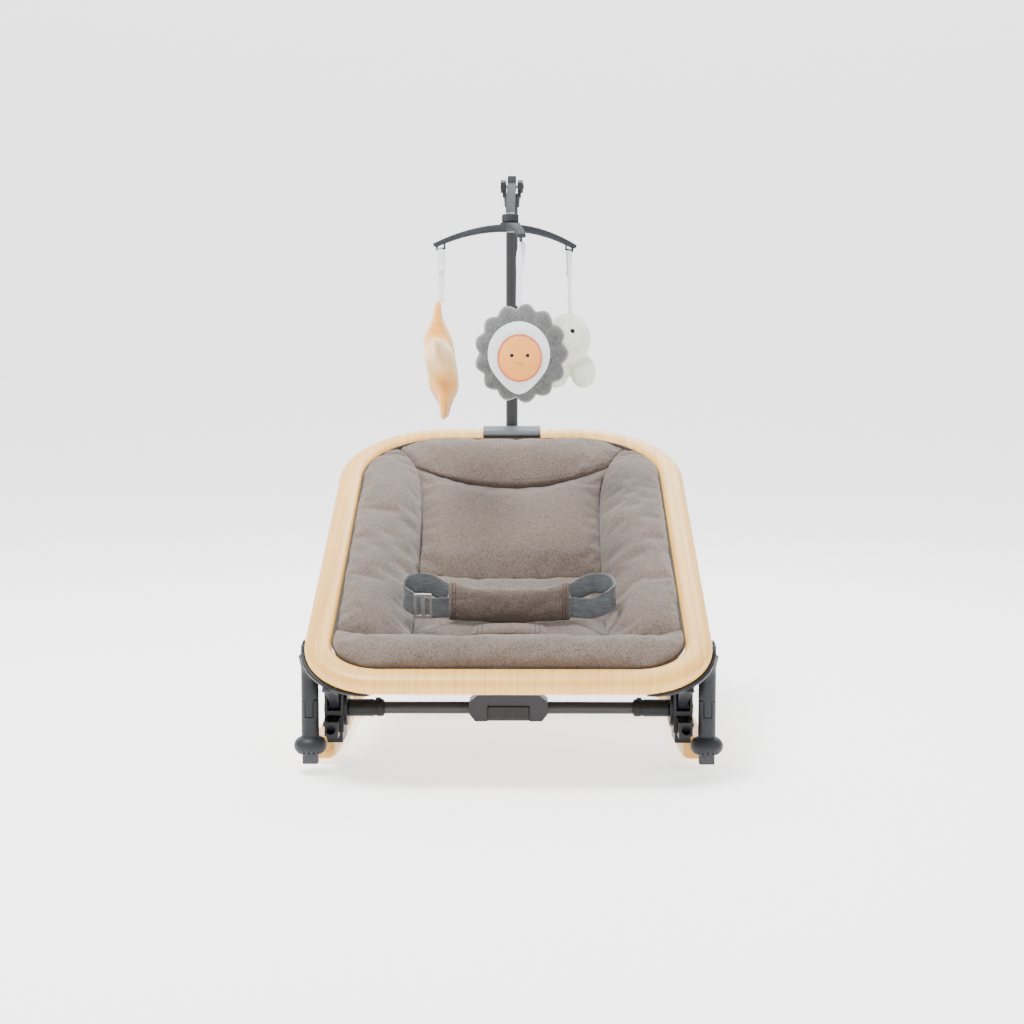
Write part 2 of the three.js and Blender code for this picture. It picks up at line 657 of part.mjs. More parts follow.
// the shell that cups the ring's outer lower edge round the front corner, pointed at both ends
function crescent() {
  const inset = RING_BAR / 2;
  const radius = RING_FRONT_RADIUS - inset;
  const centre = new THREE.Vector3(RING_WIDTH / 2 - RING_FRONT_RADIUS, RING_START + RING_FRONT_RADIUS, 0);
  const up = new THREE.Vector3(0, 0, 1);
  const stations = [];
  for (let i = 0; i <= CRESCENT_STEPS; i++) {
    const angle = THREE.MathUtils.degToRad(lerp(CRESCENT_START_DEG, 0, i / CRESCENT_STEPS));
    const across = new THREE.Vector3(Math.cos(angle), Math.sin(angle), 0);
    stations.push({ at: centre.clone().addScaledVector(across, radius), across, up });
  }
  for (const y of [CRESCENT_RAIL_Y - 7, CRESCENT_RAIL_Y - 4, CRESCENT_RAIL_Y]) {
    const at = new THREE.Vector3(RING_WIDTH / 2 - inset, y, 0);
    stations.push({ at, across: new THREE.Vector3(1, 0, 0), up });
  }
  const last = stations.length - 1;
  const fold = 6;
  const sectionAt = (i) => {
    const t = i / last;
    const body = Math.sin(Math.PI * clamp(t, 0, 1)) ** 0.7;
    const thick = 0.9 + 5.3 * body;
    const upper = lerp(-38, 6, smoothstep(t, 0.1, 0.95));
    const lower = lerp(upper - 24, -118, body);
    const points = [];
    for (let j = 0; j <= fold; j++) points.push(sectionPoint(lerp(upper, lower, j / fold), BRACKET_GAP));
    for (let j = fold; j >= 0; j--) {
      const taper = Math.sin(Math.PI * lerp(0.16, 0.9, j / fold)) ** 0.5;
      points.push(sectionPoint(lerp(upper, lower, j / fold), BRACKET_GAP + thick * taper));
    }
    return points;
  };
  return sweep(stations, sectionAt);
}

// the plate that hangs from the bracket to the recline axis, drawn in the ring's frame
function knuckle() {
  const [axisY, axisZ] = [AXIS_UP_SLOPE, -AXIS_BELOW_TOP];
  const shape = new THREE.Shape();
  shape.moveTo(12, -RING_THICK - 1.5);
  shape.lineTo(20, -RING_THICK - 8);
  shape.quadraticCurveTo(46, -50, axisY - 17, axisZ + 19);
  shape.quadraticCurveTo(axisY - 13, axisZ + 9, axisY - KNUCKLE_RADIUS, axisZ);
  shape.absarc(axisY, axisZ, KNUCKLE_RADIUS, Math.PI, 2 * Math.PI, false);
  shape.lineTo(axisY + KNUCKLE_RADIUS, axisZ + 20);
  shape.quadraticCurveTo(axisY + 8, -52, axisY - 24, -RING_THICK - 1.5);
  shape.closePath();
  const plate = slabX(shape, KNUCKLE_IN, KNUCKLE_OUT, 12);
  const bore = cylinderX(BOLT_RADIUS + GAP, KNUCKLE_IN - 1, KNUCKLE_OUT + 1, axisY, axisZ);
  return cut(plate, bore);
}

// the upper leg stands upright under the ring; its tongue reaches down over the lower leg
function upperLeg() {
  const tube = cylinderZ(LEG_RADIUS, LEG_SEAM_Z + 8, 152, LEG_X, LEG_Y);
  const flare = new THREE.CylinderGeometry(LEG_RADIUS + 6, LEG_RADIUS, 26, 24).rotateX(Math.PI / 2);
  flare.translate(LEG_X - 3, LEG_Y - 1, 127);
  const tongue = tonguePiece(0);
  const leg = join(tube, flare, tongue);
  const notches = [100, 106, 112].map((z) => (
    box(LEG_X - LEG_RADIUS - 1, LEG_X - LEG_RADIUS + 2, LEG_Y - 5, LEG_Y + 2, z, z + 3)));
  return cut(leg, ...notches);
}

// the curved tongue on the front of the leg, grown by a clearance when it is used as a cutter
function tonguePiece(grow) {
  const slab = box(LEG_X - TONGUE_HALF - grow, LEG_X + TONGUE_HALF + grow,
    LEG_Y - LEG_RADIUS - 1, LEG_Y - LEG_RADIUS + 4.5 + grow, TONGUE_LOW_Z - grow, TONGUE_HIGH_Z + 1);
  const round = cylinderZ(LEG_RADIUS + (grow ? 2 : 0), TONGUE_LOW_Z - 2, TONGUE_HIGH_Z + 2, LEG_X, LEG_Y);
  return toGeometry(toManifold(slab).intersect(toManifold(round)));
}

function bracket() {
  const leg = upperLeg().applyMatrix4(toRing);
  const hangers = cut(join(knuckle(), leg), ringSolid(2 * GAP));
  return join(crescent(), hangers);
}

function lowerLeg() {
  const tube = cylinderZ(LEG_RADIUS - 0.05, KNOB_HIGH_Z - 4, LEG_SEAM_Z + 8 - GAP, LEG_X, LEG_Y);
  const core = cylinderZ(4, KNOB_LOW_Z + 9, KNOB_HIGH_Z - 3, LEG_X, LEG_Y, 16);
  return cut(join(tube, core), tonguePiece(GAP));
}

// the turning foot: a squashed ball with a skirt of small slots round its lower rim
function footKnob() {
  const profile = [[0, KNOB_LOW_Z]];
  const middle = (KNOB_LOW_Z + KNOB_HIGH_Z) / 2;
  const half = (KNOB_HIGH_Z - KNOB_LOW_Z) / 2;
  for (let i = 0; i <= 6; i++) {
    const angle = lerp(-1.05, 1.2, i / 6);
    profile.push([KNOB_RADIUS * Math.cos(angle) ** 0.75, middle + half * Math.sin(angle) / Math.sin(1.2)]);
  }
  profile.push([LEG_RADIUS + GAP, KNOB_HIGH_Z], [LEG_RADIUS + GAP, KNOB_HIGH_Z - 4 - GAP]);
  profile.push([4 + GAP, KNOB_HIGH_Z - 4 - GAP], [4 + GAP, KNOB_LOW_Z + 9 - GAP], [0, KNOB_LOW_Z + 9 - GAP]);
  const ball = turned(profile, 24).translate(LEG_X, LEG_Y, 0);
  const slots = [];
  for (let i = 0; i < 8; i++) {
    const angle = ((i + 0.5) / 8) * 2 * Math.PI;
    const slot = new THREE.BoxGeometry(4, 2.6, 3).translate(KNOB_RADIUS * 0.86, 0, KNOB_LOW_Z + 2.2);
    slots.push(slot.rotateZ(angle).translate(LEG_X, LEG_Y, 0));
  }
  const well = box(LEG_X - PAD_WIDE / 2 - GAP, LEG_X + PAD_WIDE / 2 + GAP,
    LEG_Y - PAD_DEEP / 2 - GAP, LEG_Y + PAD_DEEP / 2 + GAP, KNOB_LOW_Z - 1, KNOB_LOW_Z + 5);
  return cut(ball, ...slots, well);
}

function footPad() {
  const shape = roundedRectangle(PAD_WIDE, PAD_DEEP, 1.6);
  return extruded(shape, KNOB_LOW_Z + 4.6 - PAD_LOW_Z, 3).translate(LEG_X, LEG_Y, PAD_LOW_Z);
}

for (const [word, side] of SIDES) {
  add(ring, `corner_bracket_${word}`, onSide(side, bracket()), SLATE);
  add(object, `lower_leg_${word}`, onSide(side, lowerLeg()), SLATE);
  add(object, `foot_knob_${word}`, onSide(side, footKnob()), SLATE);
  add(object, `foot_pad_${word}`, onSide(side, footPad()), RUBBER);
}

// ---------------------------------------------------------------- padded seat
const INNER_HALF = RING_WIDTH / 2 - RING_BAR - 0.8;
const INNER_START = RING_START + RING_BAR + 0.8;
const INNER_END = RING_END - RING_BAR - 0.8;
const INNER_FRONT_RADIUS = RING_FRONT_RADIUS - RING_BAR;
const INNER_BACK_RADIUS = RING_BACK_RADIUS - RING_BAR;
const PAD_LIFT = 4.5;                              // underside of the pads above the hammock
const SEAM = 0.5;                                  // half gap between neighbouring pads

// half width of the opening inside the ring at a place up the slope
function openingHalf(y) {
  const intoFront = clamp(INNER_START + INNER_FRONT_RADIUS - y, 0, INNER_FRONT_RADIUS);
  const intoBack = clamp(y - INNER_END + INNER_BACK_RADIUS, 0, INNER_BACK_RADIUS);
  const front = INNER_FRONT_RADIUS - Math.sqrt(INNER_FRONT_RADIUS ** 2 - intoFront ** 2);
  const back = INNER_BACK_RADIUS - Math.sqrt(INNER_BACK_RADIUS ** 2 - intoBack ** 2);
  return INNER_HALF - front - back;
}

// depth of the hammock below the ring's top, along its middle line
const hammockDepth = graph([
  [20, 12], [60, 24], [110, 52], [170, 70], [240, 76],
  [310, 70], [400, 52], [500, 34], [580, 22], [640, 14]]);

function hammock(x, y) {
  const rim = 13;
  const across = clamp(Math.abs(x) / INNER_HALF, 0, 1);
  return -rim - (hammockDepth(y) - rim) * (1 - across ** 3.2);
}

const SLING_THICK = 3;
const CREASE_Y = 322;
const FRONT_PAD_Y = 112;
const HEAD_Y = 512;
const PANEL_HALF = 119;

// the seam between the side bolsters and the middle panels, from the middle line
const panelHalf = graph([[90, 119], [330, 119], [440, 120], [500, 124], [545, 133], [585, 152], [620, 175]]);

// the seam under the head pad dips towards the seat in the middle
function headSeam(x) {
  return HEAD_Y + 34 * clamp(Math.abs(x) / PANEL_HALF, 0, 1.4) ** 2;
}

function sling() {
  const place = (u, v) => {
    const y = lerp(INNER_START, INNER_END, v);
    return [lerp(-1, 1, u) * openingHalf(y), y];
  };
  return quilt(12, 12, place, (x, y) => hammock(x, y) - SLING_THICK, hammock);
}

function crown(u, v, power = 0.5) {
  return (Math.sin(Math.PI * clamp(u, 0.03, 0.97)) * Math.sin(Math.PI * clamp(v, 0.03, 0.97))) ** power;
}

const onHammock = (x, y) => hammock(x, y) + PAD_LIFT;

function backCushion() {
  const place = (u, v) => {
    const x = lerp(-1, 1, u) * (PANEL_HALF - SEAM);
    return [x, lerp(CREASE_Y + SEAM, headSeam(x) - SEAM, v)];
  };
  const over = (x, y, u, v) => hammock(x, y) + 9 + 17 * crown(u, v, 0.45);
  return quilt(8, 9, place, onHammock, over);
}

function seatCushion() {
  const half = PANEL_HALF - SEAM;
  const place = (u, v) => [lerp(-half, half, u), lerp(FRONT_PAD_Y + SEAM, CREASE_Y - SEAM, v)];
  const over = (x, y, u, v) => hammock(x, y) + 9 + 19 * crown(u, v, 0.45);
  return quilt(8, 9, place, onHammock, over);
}

function headCushion() {
  const place = (u, v) => {
    const t = lerp(-1, 1, u);
    const near = t * (panelHalf(548) - SEAM);
    const far = t * (openingHalf(INNER_END - 6) + 4);
    const y0 = headSeam(near) + SEAM;
    const y = lerp(y0, INNER_END - 2 - 16 * t * t, v);
    const widest = Math.min(panelHalf(y), openingHalf(y)) - SEAM - 0.6;
    return [t * Math.min(lerp(Math.abs(near / (t || 1)), Math.abs(far / (t || 1)), v), widest), y];
  };
  const over = (x, y, u, v) => lerp(-22, -7, v) + 20 * crown(u, v, 0.4);
  return quilt(10, 6, place, onHammock, over);
}

function sideBolster() {
  const [low, high] = [FRONT_PAD_Y + SEAM, 598];
  const place = (u, v) => {
    const y = lerp(low, high, v);
    const inner = panelHalf(y) + SEAM;
    const outer = Math.max(openingHalf(y) - 0.6, inner + 1.5);
    return [lerp(inner, outer, u), y];
  };
  const over = (x, y, u, v) => {
    const seam = hammock(panelHalf(y), y) + 12;
    const rest = lerp(seam, -6, u);
    return rest + 24 * crown(u, v, 0.42) * lerp(1, 0.72, v);
  };
  return quilt(6, 13, place, onHammock, over);
}

const FRONT_FULL_MIDDLE = 32;                      // the roll is fuller towards its ends
const FRONT_FULL_END = 42;

function frontBolster() {
  const place = (u, v) => {
    const y = lerp(INNER_START + 0.6, FRONT_PAD_Y - SEAM, v);
    return [lerp(-1, 1, u) * (openingHalf(y) - 0.6), y];
  };
  const fullness = (u) => lerp(FRONT_FULL_MIDDLE, FRONT_FULL_END, Math.abs(2 * u - 1) ** 1.5);
  const over = (x, y, u, v) => lerp(-8, hammock(x, y) + 14, v) + fullness(u) * crown(u, v, 0.4);
  return quilt(14, 6, place, onHammock, over);
}

add(ring, 'seat_sling', sling(), SHELL_FABRIC);
add(ring, 'back_cushion', backCushion(), FABRIC);
add(ring, 'seat_cushion', seatCushion(), FABRIC);
add(ring, 'head_cushion', headCushion(), FABRIC);
for (const [word, side] of SIDES) {
  add(ring, `side_bolster_${word}`, onSide(side, sideBolster()), FABRIC);
}
add(ring, 'front_bolster', frontBolster(), FABRIC);

// ---------------------------------------------------------------- harness
const WAIST_HALF = 76;
const WAIST_Y = 176;
const WAIST_LOW = -40;
const WAIST_HIGH = 52;
const STRAP_WIDE = 25;
const STRAP_THICK = 1.6;

// the waist pad curves round the child, so its ends sit further back than its middle
function waistPad() {
  const upright = new THREE.Vector3(0, Math.sin(SLOPE), Math.cos(SLOPE));
  const stations = [];
  const steps = 8;
  for (let i = 0; i <= steps; i++) {
    const t = lerp(-1, 1, i / steps);
    const at = new THREE.Vector3(t * WAIST_HALF, WAIST_Y + 12 * t * t, WAIST_LOW);
    at.addScaledVector(upright, WAIST_HIGH / 2);
    const slope = Math.atan2(24 * t, WAIST_HALF);
    const ahead = new THREE.Vector3(0, -Math.cos(SLOPE), Math.sin(SLOPE)).multiplyScalar(Math.cos(slope));
    ahead.x = Math.sin(slope);
    stations.push({ at, across: ahead.normalize(), up: upright });
  }
  return sweep(stations, () => superellipse(13, WAIST_HIGH, 12, 2.6));
}

function crotchPad() {
  const half = 48;
  const surface = (x, y) => hammock(x, y) + 30;
  const place = (u, v) => [lerp(-half, half, u), lerp(FRONT_PAD_Y + 14, WAIST_Y - 10, v)];
  return quilt(6, 5, place, surface, (x, y, u, v) => surface(x, y) + 5 + 13 * crown(u, v, 0.4));
}

// webbing that leaves the waist pad's end, climbs as it loops out and comes back behind it;
// its route is [across, up the slope, rise]
function strap() {
  const route = [
    [80, 190, 0], [102, 179, 6], [120, 182, 13], [129, 196, 17],
    [122, 214, 18], [106, 220, 18], [93, 217, 18]];
  const lift = WAIST_LOW + STRAP_WIDE / 2 + 6;
  const points = route.map(([x, y, rise]) => new THREE.Vector3(x, y, lift + rise));
  const curve = new THREE.CatmullRomCurve3(points);
  const stations = stationsAlong(curve, 22, new THREE.Vector3(0, Math.sin(SLOPE), Math.cos(SLOPE)));
  const [a, b] = [STRAP_THICK / 2, STRAP_WIDE / 2];
  const outline = [[-a, -b], [a, -b], [a, b], [-a, b]];
  return sweep(stations, () => outline);
}

// the three-bar slider that sits on the left strap
function strapSlider() {
  const plate = extruded(roundedRectangle(22, 34, 3), 2.4);
  const windows = [-5, 5].map((x) => box(x - 2.6, x + 2.6, -13.5, 13.5, -1, 4));
  const slider = cut(plate, ...windows).rotateX(Math.PI / 2);
  return slider.translate(-104, 169.5, WAIST_LOW + 34);
}

add(ring, 'waist_pad', waistPad(), FABRIC);
add(ring, 'crotch_pad', crotchPad(), FABRIC);
for (const [word, side] of SIDES) {
  add(ring, `harness_strap_${word}`, onSide(side, strap()), WEBBING);
}
add(ring, 'strap_slider', strapSlider(), SILVER);

// ---------------------------------------------------------------- toy bar
// the clamp wraps the ring's back bar and carries an upright socket behind it
function clampBlock() {
  const back = RING_END - RING_BAR / 2;
  const across = new THREE.Vector3(0, 1, 0);
  const up = new THREE.Vector3(0, 0, 1);
  const shell = superellipse(RING_BAR + 8, RING_THICK + 8, 20, 3.2).map(([a, b]) => [a, b - RING_THICK / 2]);
  const stations = [-CLAMP_HALF, CLAMP_HALF].map((x) => ({ at: new THREE.Vector3(x, back, 0), across, up }));
  const sleeve = sweep(stations, () => shell);
  const socket = new THREE.BoxGeometry(30, 24, 46).translate(0, MAST_Y, MAST_FOOT_Z + 16);
  const bore = cylinderZ(MAST_RADIUS + GAP, MAST_FOOT_Z - GAP, MAST_FOOT_Z + 60, 0, MAST_Y);
  socket.applyMatrix4(toRing);
  bore.applyMatrix4(toRing);
  const [near, far] = [-CLAMP_HALF - 1, CLAMP_HALF + 1];
  const openBelow = box(near, far, back - RING_BAR, back - 9, -60, -RING_THICK / 2);
  const openInside = box(near, far, back - RING_BAR, back - RING_BAR / 2 + 0.7, -60, 20);
  return cut(join(cut(sleeve, openBelow, openInside), socket), ringSolid(GAP), bore);
}

function mast() {
  const outside = cylinderZ(MAST_RADIUS, MAST_FOOT_Z, ARM_PIVOT_Z - 24, 0, MAST_Y);
  return cut(outside, cylinderZ(MAST_RADIUS - 1.2, MAST_FOOT_Z - 1, ARM_PIVOT_Z, 0, MAST_Y));
}

const FORK_OUT = 16.5;
const FORK_IN = 8.2;
const ARM_HALF = 6.3;
const ARM_HEAD_RADIUS = 11.5;
const ARM_HEAD_RISE = 4;                           // the round head stands proud of the ears

// the fork on the mast's top: a collar and two six-sided ears that hold the arm's pin
function mastFork() {
  const collar = new THREE.CylinderGeometry(12, MAST_RADIUS + 2.2, 16, 28).rotateX(Math.PI / 2);
  collar.translate(0, MAST_Y, ARM_PIVOT_Z - 22);
  const base = box(-FORK_OUT + 3, FORK_OUT - 3, MAST_Y - 8, MAST_Y + 8, ARM_PIVOT_Z - 16, ARM_PIVOT_Z - 11);
  const ears = [-1, 1].map((side) => {
    const ear = cylinderX(9.5, 0, FORK_OUT - FORK_IN, MAST_Y, ARM_PIVOT_Z, 6);
    const thick = FORK_OUT - FORK_IN - 3;
    const foot = box(0, thick, MAST_Y - 6.5, MAST_Y + 6.5, ARM_PIVOT_Z - 13, ARM_PIVOT_Z - 4);
    return onSide(side, join(ear, foot).translate(FORK_IN, 0, 0));
  });
  const pinHole = cylinderX(3 + GAP, -30, 30, MAST_Y, ARM_PIVOT_Z, 20);
  const tubeHole = cylinderZ(MAST_RADIUS + GAP, ARM_PIVOT_Z - 40, ARM_PIVOT_Z - 24 + GAP, 0, MAST_Y);
  return cut(join(collar, base, ...ears), pinHole, tubeHole);
}

function armPin() {
  return join(
    cylinderX(3, -FORK_OUT - 0.4, FORK_OUT + 0.4, MAST_Y, ARM_PIVOT_Z, 20),
    cylinderX(4.6, FORK_OUT + GAP, FORK_OUT + 1.6, MAST_Y, ARM_PIVOT_Z, 20));
}

// the arm: a round head on the pin, and a bar that arches forward and down to the carousel
function toyArm() {
  const head = cylinderX(ARM_HEAD_RADIUS, -ARM_HALF, ARM_HALF, MAST_Y, ARM_PIVOT_Z + ARM_HEAD_RISE, 32);
  const tipZ = SPIDER_Z + 7.5;
  const curve = new THREE.QuadraticBezierCurve3(
    new THREE.Vector3(0, MAST_Y - 4, ARM_PIVOT_Z),
    new THREE.Vector3(0, lerp(MAST_Y, SPIDER_Y, 0.5), ARM_PIVOT_Z - 16),
    new THREE.Vector3(0, SPIDER_Y, tipZ));
  const stations = stationsAlong(curve, 8, new THREE.Vector3(0, 0, 1));
  const bar = sweep(stations, () => superellipse(2 * ARM_HALF, 9, 12, 4));
  const boss = cylinderZ(11, tipZ - 5, tipZ + 5.5, 0, SPIDER_Y, 28);
  const swivel = cylinderZ(3 + GAP, tipZ - 10, tipZ + 10, 0, SPIDER_Y, 20);
  const headRoom = cylinderZ(5.4 + GAP, tipZ + 5.5, tipZ + 20, 0, SPIDER_Y, 20);
  const hole = cylinderX(3 + GAP, -20, 20, MAST_Y, ARM_PIVOT_Z, 20);
  return cut(join(head, bar, boss), swivel, headRoom, hole);
}

function armDirection(index) {
  const angle = SPIDER_TURN + (index * 2 * Math.PI) / 3;
  return new THREE.Vector3(Math.sin(angle), -Math.cos(angle), 0);
}

// how far the carousel's arms have dropped at a distance from its middle
function armDrop(distance) {
  return SPIDER_DROP * (distance / SPIDER_ARM) ** 2;
}

// three arched arms from a round boss; each end carries two pegs with a ribbon between them
function toySpider() {
  const pieces = [cylinderZ(13, SPIDER_Z - 7, SPIDER_Z + 2, 0, SPIDER_Y, 32)];
  const pegs = [];
  for (let i = 0; i < 3; i++) {
    const out = armDirection(i);
    const side = new THREE.Vector3(-out.y, out.x, 0);
    const hub = new THREE.Vector3(0, SPIDER_Y, SPIDER_Z - 2.5);
    const curve = new THREE.QuadraticBezierCurve3(
      hub.clone().addScaledVector(out, 4).setZ(SPIDER_Z - 4.5),
      hub.clone().addScaledVector(out, SPIDER_ARM / 2),
      hub.clone().addScaledVector(out, SPIDER_ARM).setZ(SPIDER_Z - 2.5 - SPIDER_DROP));
    const stations = stationsAlong(curve, 8, new THREE.Vector3(0, 0, 1));
    const sectionAt = (k) => superellipse(lerp(14, 11, k / 8), lerp(10, 5, k / 8), 8, 4);
    pieces.push(sweep(stations, sectionAt));
    for (const [distance, long] of [[TOY_RADIUS - 5.5, 9], [TOY_RADIUS + 5.5, 9]]) {
      const top = SPIDER_Z - 2.5 - armDrop(distance);
      const at = hub.clone().addScaledVector(out, distance);
      pegs.push(cylinderZ(1.5, top - long, top - 1, at.x, at.y, 6));
    }
    const bar = new THREE.CylinderGeometry(1.3, 1.3, 14, 6).rotateZ(Math.PI / 2);
    bar.applyMatrix4(new THREE.Matrix4().makeBasis(out, side, new THREE.Vector3(0, 0, 1)));
    const middle = hub.clone().addScaledVector(out, TOY_RADIUS);
    pegs.push(bar.translate(middle.x, middle.y, SPIDER_Z - 2.5 - armDrop(TOY_RADIUS) - 8));
  }
  const hole = cylinderZ(3 + GAP, SPIDER_Z - 12, SPIDER_Z + 12, 0, SPIDER_Y, 20);
  const pinRoom = cylinderZ(5.4 + GAP, SPIDER_Z - 20, SPIDER_Z - 7, 0, SPIDER_Y, 20);
  return cut(join(...pieces, ...pegs), hole, pinRoom);
}

function spiderPin() {
  return join(
    cylinderZ(3, SPIDER_Z - 8.4, SPIDER_Z + 14, 0, SPIDER_Y, 20),
    cylinderZ(5.4, SPIDER_Z - 9.6, SPIDER_Z - 7 - GAP, 0, SPIDER_Y, 20),
    cylinderZ(5.4, SPIDER_Z + 7.5 + 5.5 + GAP, SPIDER_Z + 15, 0, SPIDER_Y, 20));
}

add(ring, 'toy_bar_clamp', clampBlock(), SLATE);
add(object, 'toy_mast', mast(), CHARCOAL);
add(object, 'mast_fork', mastFork(), SLATE);
add(object, 'arm_pin', armPin(), STEEL);
add(object, 'toy_arm', toyArm(), SLATE);
add(object, 'toy_spider', toySpider(), SLATE);
add(object, 'spider_pin', spiderPin(), STEEL);

// ---------------------------------------------------------------- toys
const HANG_Z = SPIDER_Z - 2.5 - armDrop(TOY_RADIUS) - 8;   // the little bar each ribbon loops over
const RIBBON_WIDE = 7.6;

function hangPoint(index) {
  const out = armDirection(index);
  return new THREE.Vector3(0, SPIDER_Y, HANG_Z).addScaledVector(out, TOY_RADIUS);
}

// a ribbon doubled over its bar: one closed strip that runs down to the toy
function ribbon(index, length) {
  const bar = hangPoint(index);
  const out = armDirection(index);
  const side = new THREE.Vector3(-out.y, out.x, 0);
  const flat = new THREE.Matrix4().makeBasis(out, side, new THREE.Vector3(0, 0, 1));
  const loop = new THREE.Shape();
  loop.absarc(0, 0, 2.6, 0, Math.PI, false);
  loop.lineTo(-0.6, -length);
  loop.lineTo(0.6, -length);
  loop.closePath();
  const eye = new THREE.Path();
  eye.absarc(0, 0, 1.7, 0, 2 * Math.PI, true);
  loop.holes.push(eye);
  // the loop is drawn in the plane across the bar, and its width runs along the bar
  const strip = slabX(loop, -RIBBON_WIDE / 2, RIBBON_WIDE / 2, 6).applyMatrix4(flat);
  return strip.translate(bar.x, bar.y, bar.z);
}

const TOY_TOPS = [556, 551, 566];                  // tops of the front, right and left toys

// a stuffed shape that faces -Y: layers of one outline [x, z] that shrink towards both faces
function stuffed(outline, thick, layers = 6) {
  const across = new THREE.Vector3(1, 0, 0);
  const up = new THREE.Vector3(0, 0, 1);
  const stations = [];
  const sizes = [];
  for (let i = 0; i <= layers; i++) {
    const angle = lerp(-1.35, 1.35, i / layers);
    stations.push({ at: new THREE.Vector3(0, Math.sin(angle) * thick / 2, 0), across, up });
    sizes.push(Math.cos(angle) ** 0.45);
  }
  return sweep(stations, (i) => outline.map(([a, b]) => [a * sizes[i], b * sizes[i]]));
}

// a round outline with soft scallops
function scalloped(wide, high, petals, depth) {
  const outline = [];
  const steps = petals * 3;
  for (let i = 0; i < steps; i++) {
    const angle = (i / steps) * 2 * Math.PI;
    const wave = 1 - depth / 2 + (depth / 2) * Math.cos(petals * angle);
    outline.push([(wide / 2) * wave * Math.cos(angle), (high / 2) * wave * Math.sin(angle)]);
  }
  return outline;
}

// a five-pointed star with round tips
function starOutline(outer, inner) {
  const outline = [];
  for (let i = 0; i < 40; i++) {
    const angle = (i / 40) * 2 * Math.PI;
    const point = ((1 + Math.cos(5 * angle)) / 2) ** 1.4;
    const radius = lerp(inner, outer, point);
    outline.push([radius * Math.sin(angle), radius * Math.cos(angle)]);
  }
  return outline;
}

// each toy hangs with its top at its ribbon's end
function flowerToy() {
  const at = hangPoint(0);
  return stuffed(scalloped(120, 125, 13, 0.13), 44).translate(at.x, at.y, TOY_TOPS[0] - 62.5);
}

function roundToy() {
  const at = hangPoint(1);
  const body = new THREE.SphereGeometry(30, 14, 9).scale(1, 0.85, 1.16);
  const lobes = [-17, 19].map((x) => {
    return new THREE.SphereGeometry(17, 10, 6).scale(1, 0.8, 1.25).translate(x, 0, -44);
  });
  return join(body, ...lobes).translate(at.x, at.y, TOY_TOPS[1] - 34.8);
}

const STAR_OUT = 86;
const STAR_TURN = 1.58;                            // the star hangs almost edge-on to the front

function starToy() {
  const at = hangPoint(2);
  const body = stuffed(starOutline(STAR_OUT, 42), 40).rotateZ(STAR_TURN);
  return body.translate(at.x, at.y, TOY_TOPS[2] - STAR_OUT);
}

add(object, 'ribbon_front', ribbon(0, HANG_Z - TOY_TOPS[0] - GAP - 2), RIBBON);
add(object, 'ribbon_right', ribbon(1, HANG_Z - TOY_TOPS[1] - GAP - 2), RIBBON);
add(object, 'ribbon_left', ribbon(2, HANG_Z - TOY_TOPS[2] - GAP - 2), RIBBON);
add(object, 'flower_toy', flowerToy(), GREY_PLUSH);
add(object, 'round_toy', roundToy(), CREAM);
add(object, 'star_toy', starToy(), ORANGE);

export default object;
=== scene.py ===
# Looks for the baby bouncer seat: wood, moulded plastic, quilted fabric, webbing and plush toys,
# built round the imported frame. Metres, +Z up, +Y towards the head end.
import json
import math

import bmesh
import bpy
import numpy as np
from mathutils import Matrix, Vector, noise
from mathutils.bvhtree import BVHTree


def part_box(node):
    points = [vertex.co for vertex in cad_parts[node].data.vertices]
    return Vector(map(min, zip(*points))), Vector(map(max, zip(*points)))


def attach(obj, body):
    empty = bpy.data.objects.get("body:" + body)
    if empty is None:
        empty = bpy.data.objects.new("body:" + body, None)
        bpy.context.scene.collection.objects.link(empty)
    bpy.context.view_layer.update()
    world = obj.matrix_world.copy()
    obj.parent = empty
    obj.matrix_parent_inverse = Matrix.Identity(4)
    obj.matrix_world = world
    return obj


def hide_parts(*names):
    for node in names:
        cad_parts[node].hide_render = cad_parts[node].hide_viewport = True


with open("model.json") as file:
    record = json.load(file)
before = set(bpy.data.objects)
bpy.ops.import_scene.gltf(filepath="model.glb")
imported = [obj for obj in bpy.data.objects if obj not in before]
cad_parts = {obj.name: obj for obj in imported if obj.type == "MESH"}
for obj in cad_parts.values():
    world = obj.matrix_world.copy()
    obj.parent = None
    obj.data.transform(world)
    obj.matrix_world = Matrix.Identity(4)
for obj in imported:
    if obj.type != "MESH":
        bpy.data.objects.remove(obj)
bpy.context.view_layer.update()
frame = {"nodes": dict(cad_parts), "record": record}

RECORD = frame["record"]
BODY_OF = {node: body for body, nodes in RECORD["behaviour"]["bodies"].items() for node in nodes}
JOINTS = {joint["name"]: joint for joint in RECORD["behaviour"]["joints"]}
MM = 0.001
SIDES = (("left", -1), ("right", 1))
UP = Vector((0, 0, 1))
BACKWARD = Vector((0, 1, 0))
RIGHTWARD = Vector((1, 0, 0))
WELD = 1e-5
FINE_WELD = 1e-6

# ---------------------------------------------------------------- the seat ring's own frame
HUB = Vector(JOINTS["seat_recline"]["pos_m"])
SLOPE = math.radians(-JOINTS["seat_recline"]["range_deg"][0])
TILT = Matrix.Translation(HUB) @ Matrix.Rotation(SLOPE, 4, "X")


def tilted_box(node):
    """Lowest and highest corner of a node in the seat's tilted frame."""
    points = [TILT.inverted() @ v.co for v in frame["nodes"][node].data.vertices]
    low = Vector([min(p[k] for p in points) for k in range(3)])
    high = Vector([max(p[k] for p in points) for k in range(3)])
    return low, high


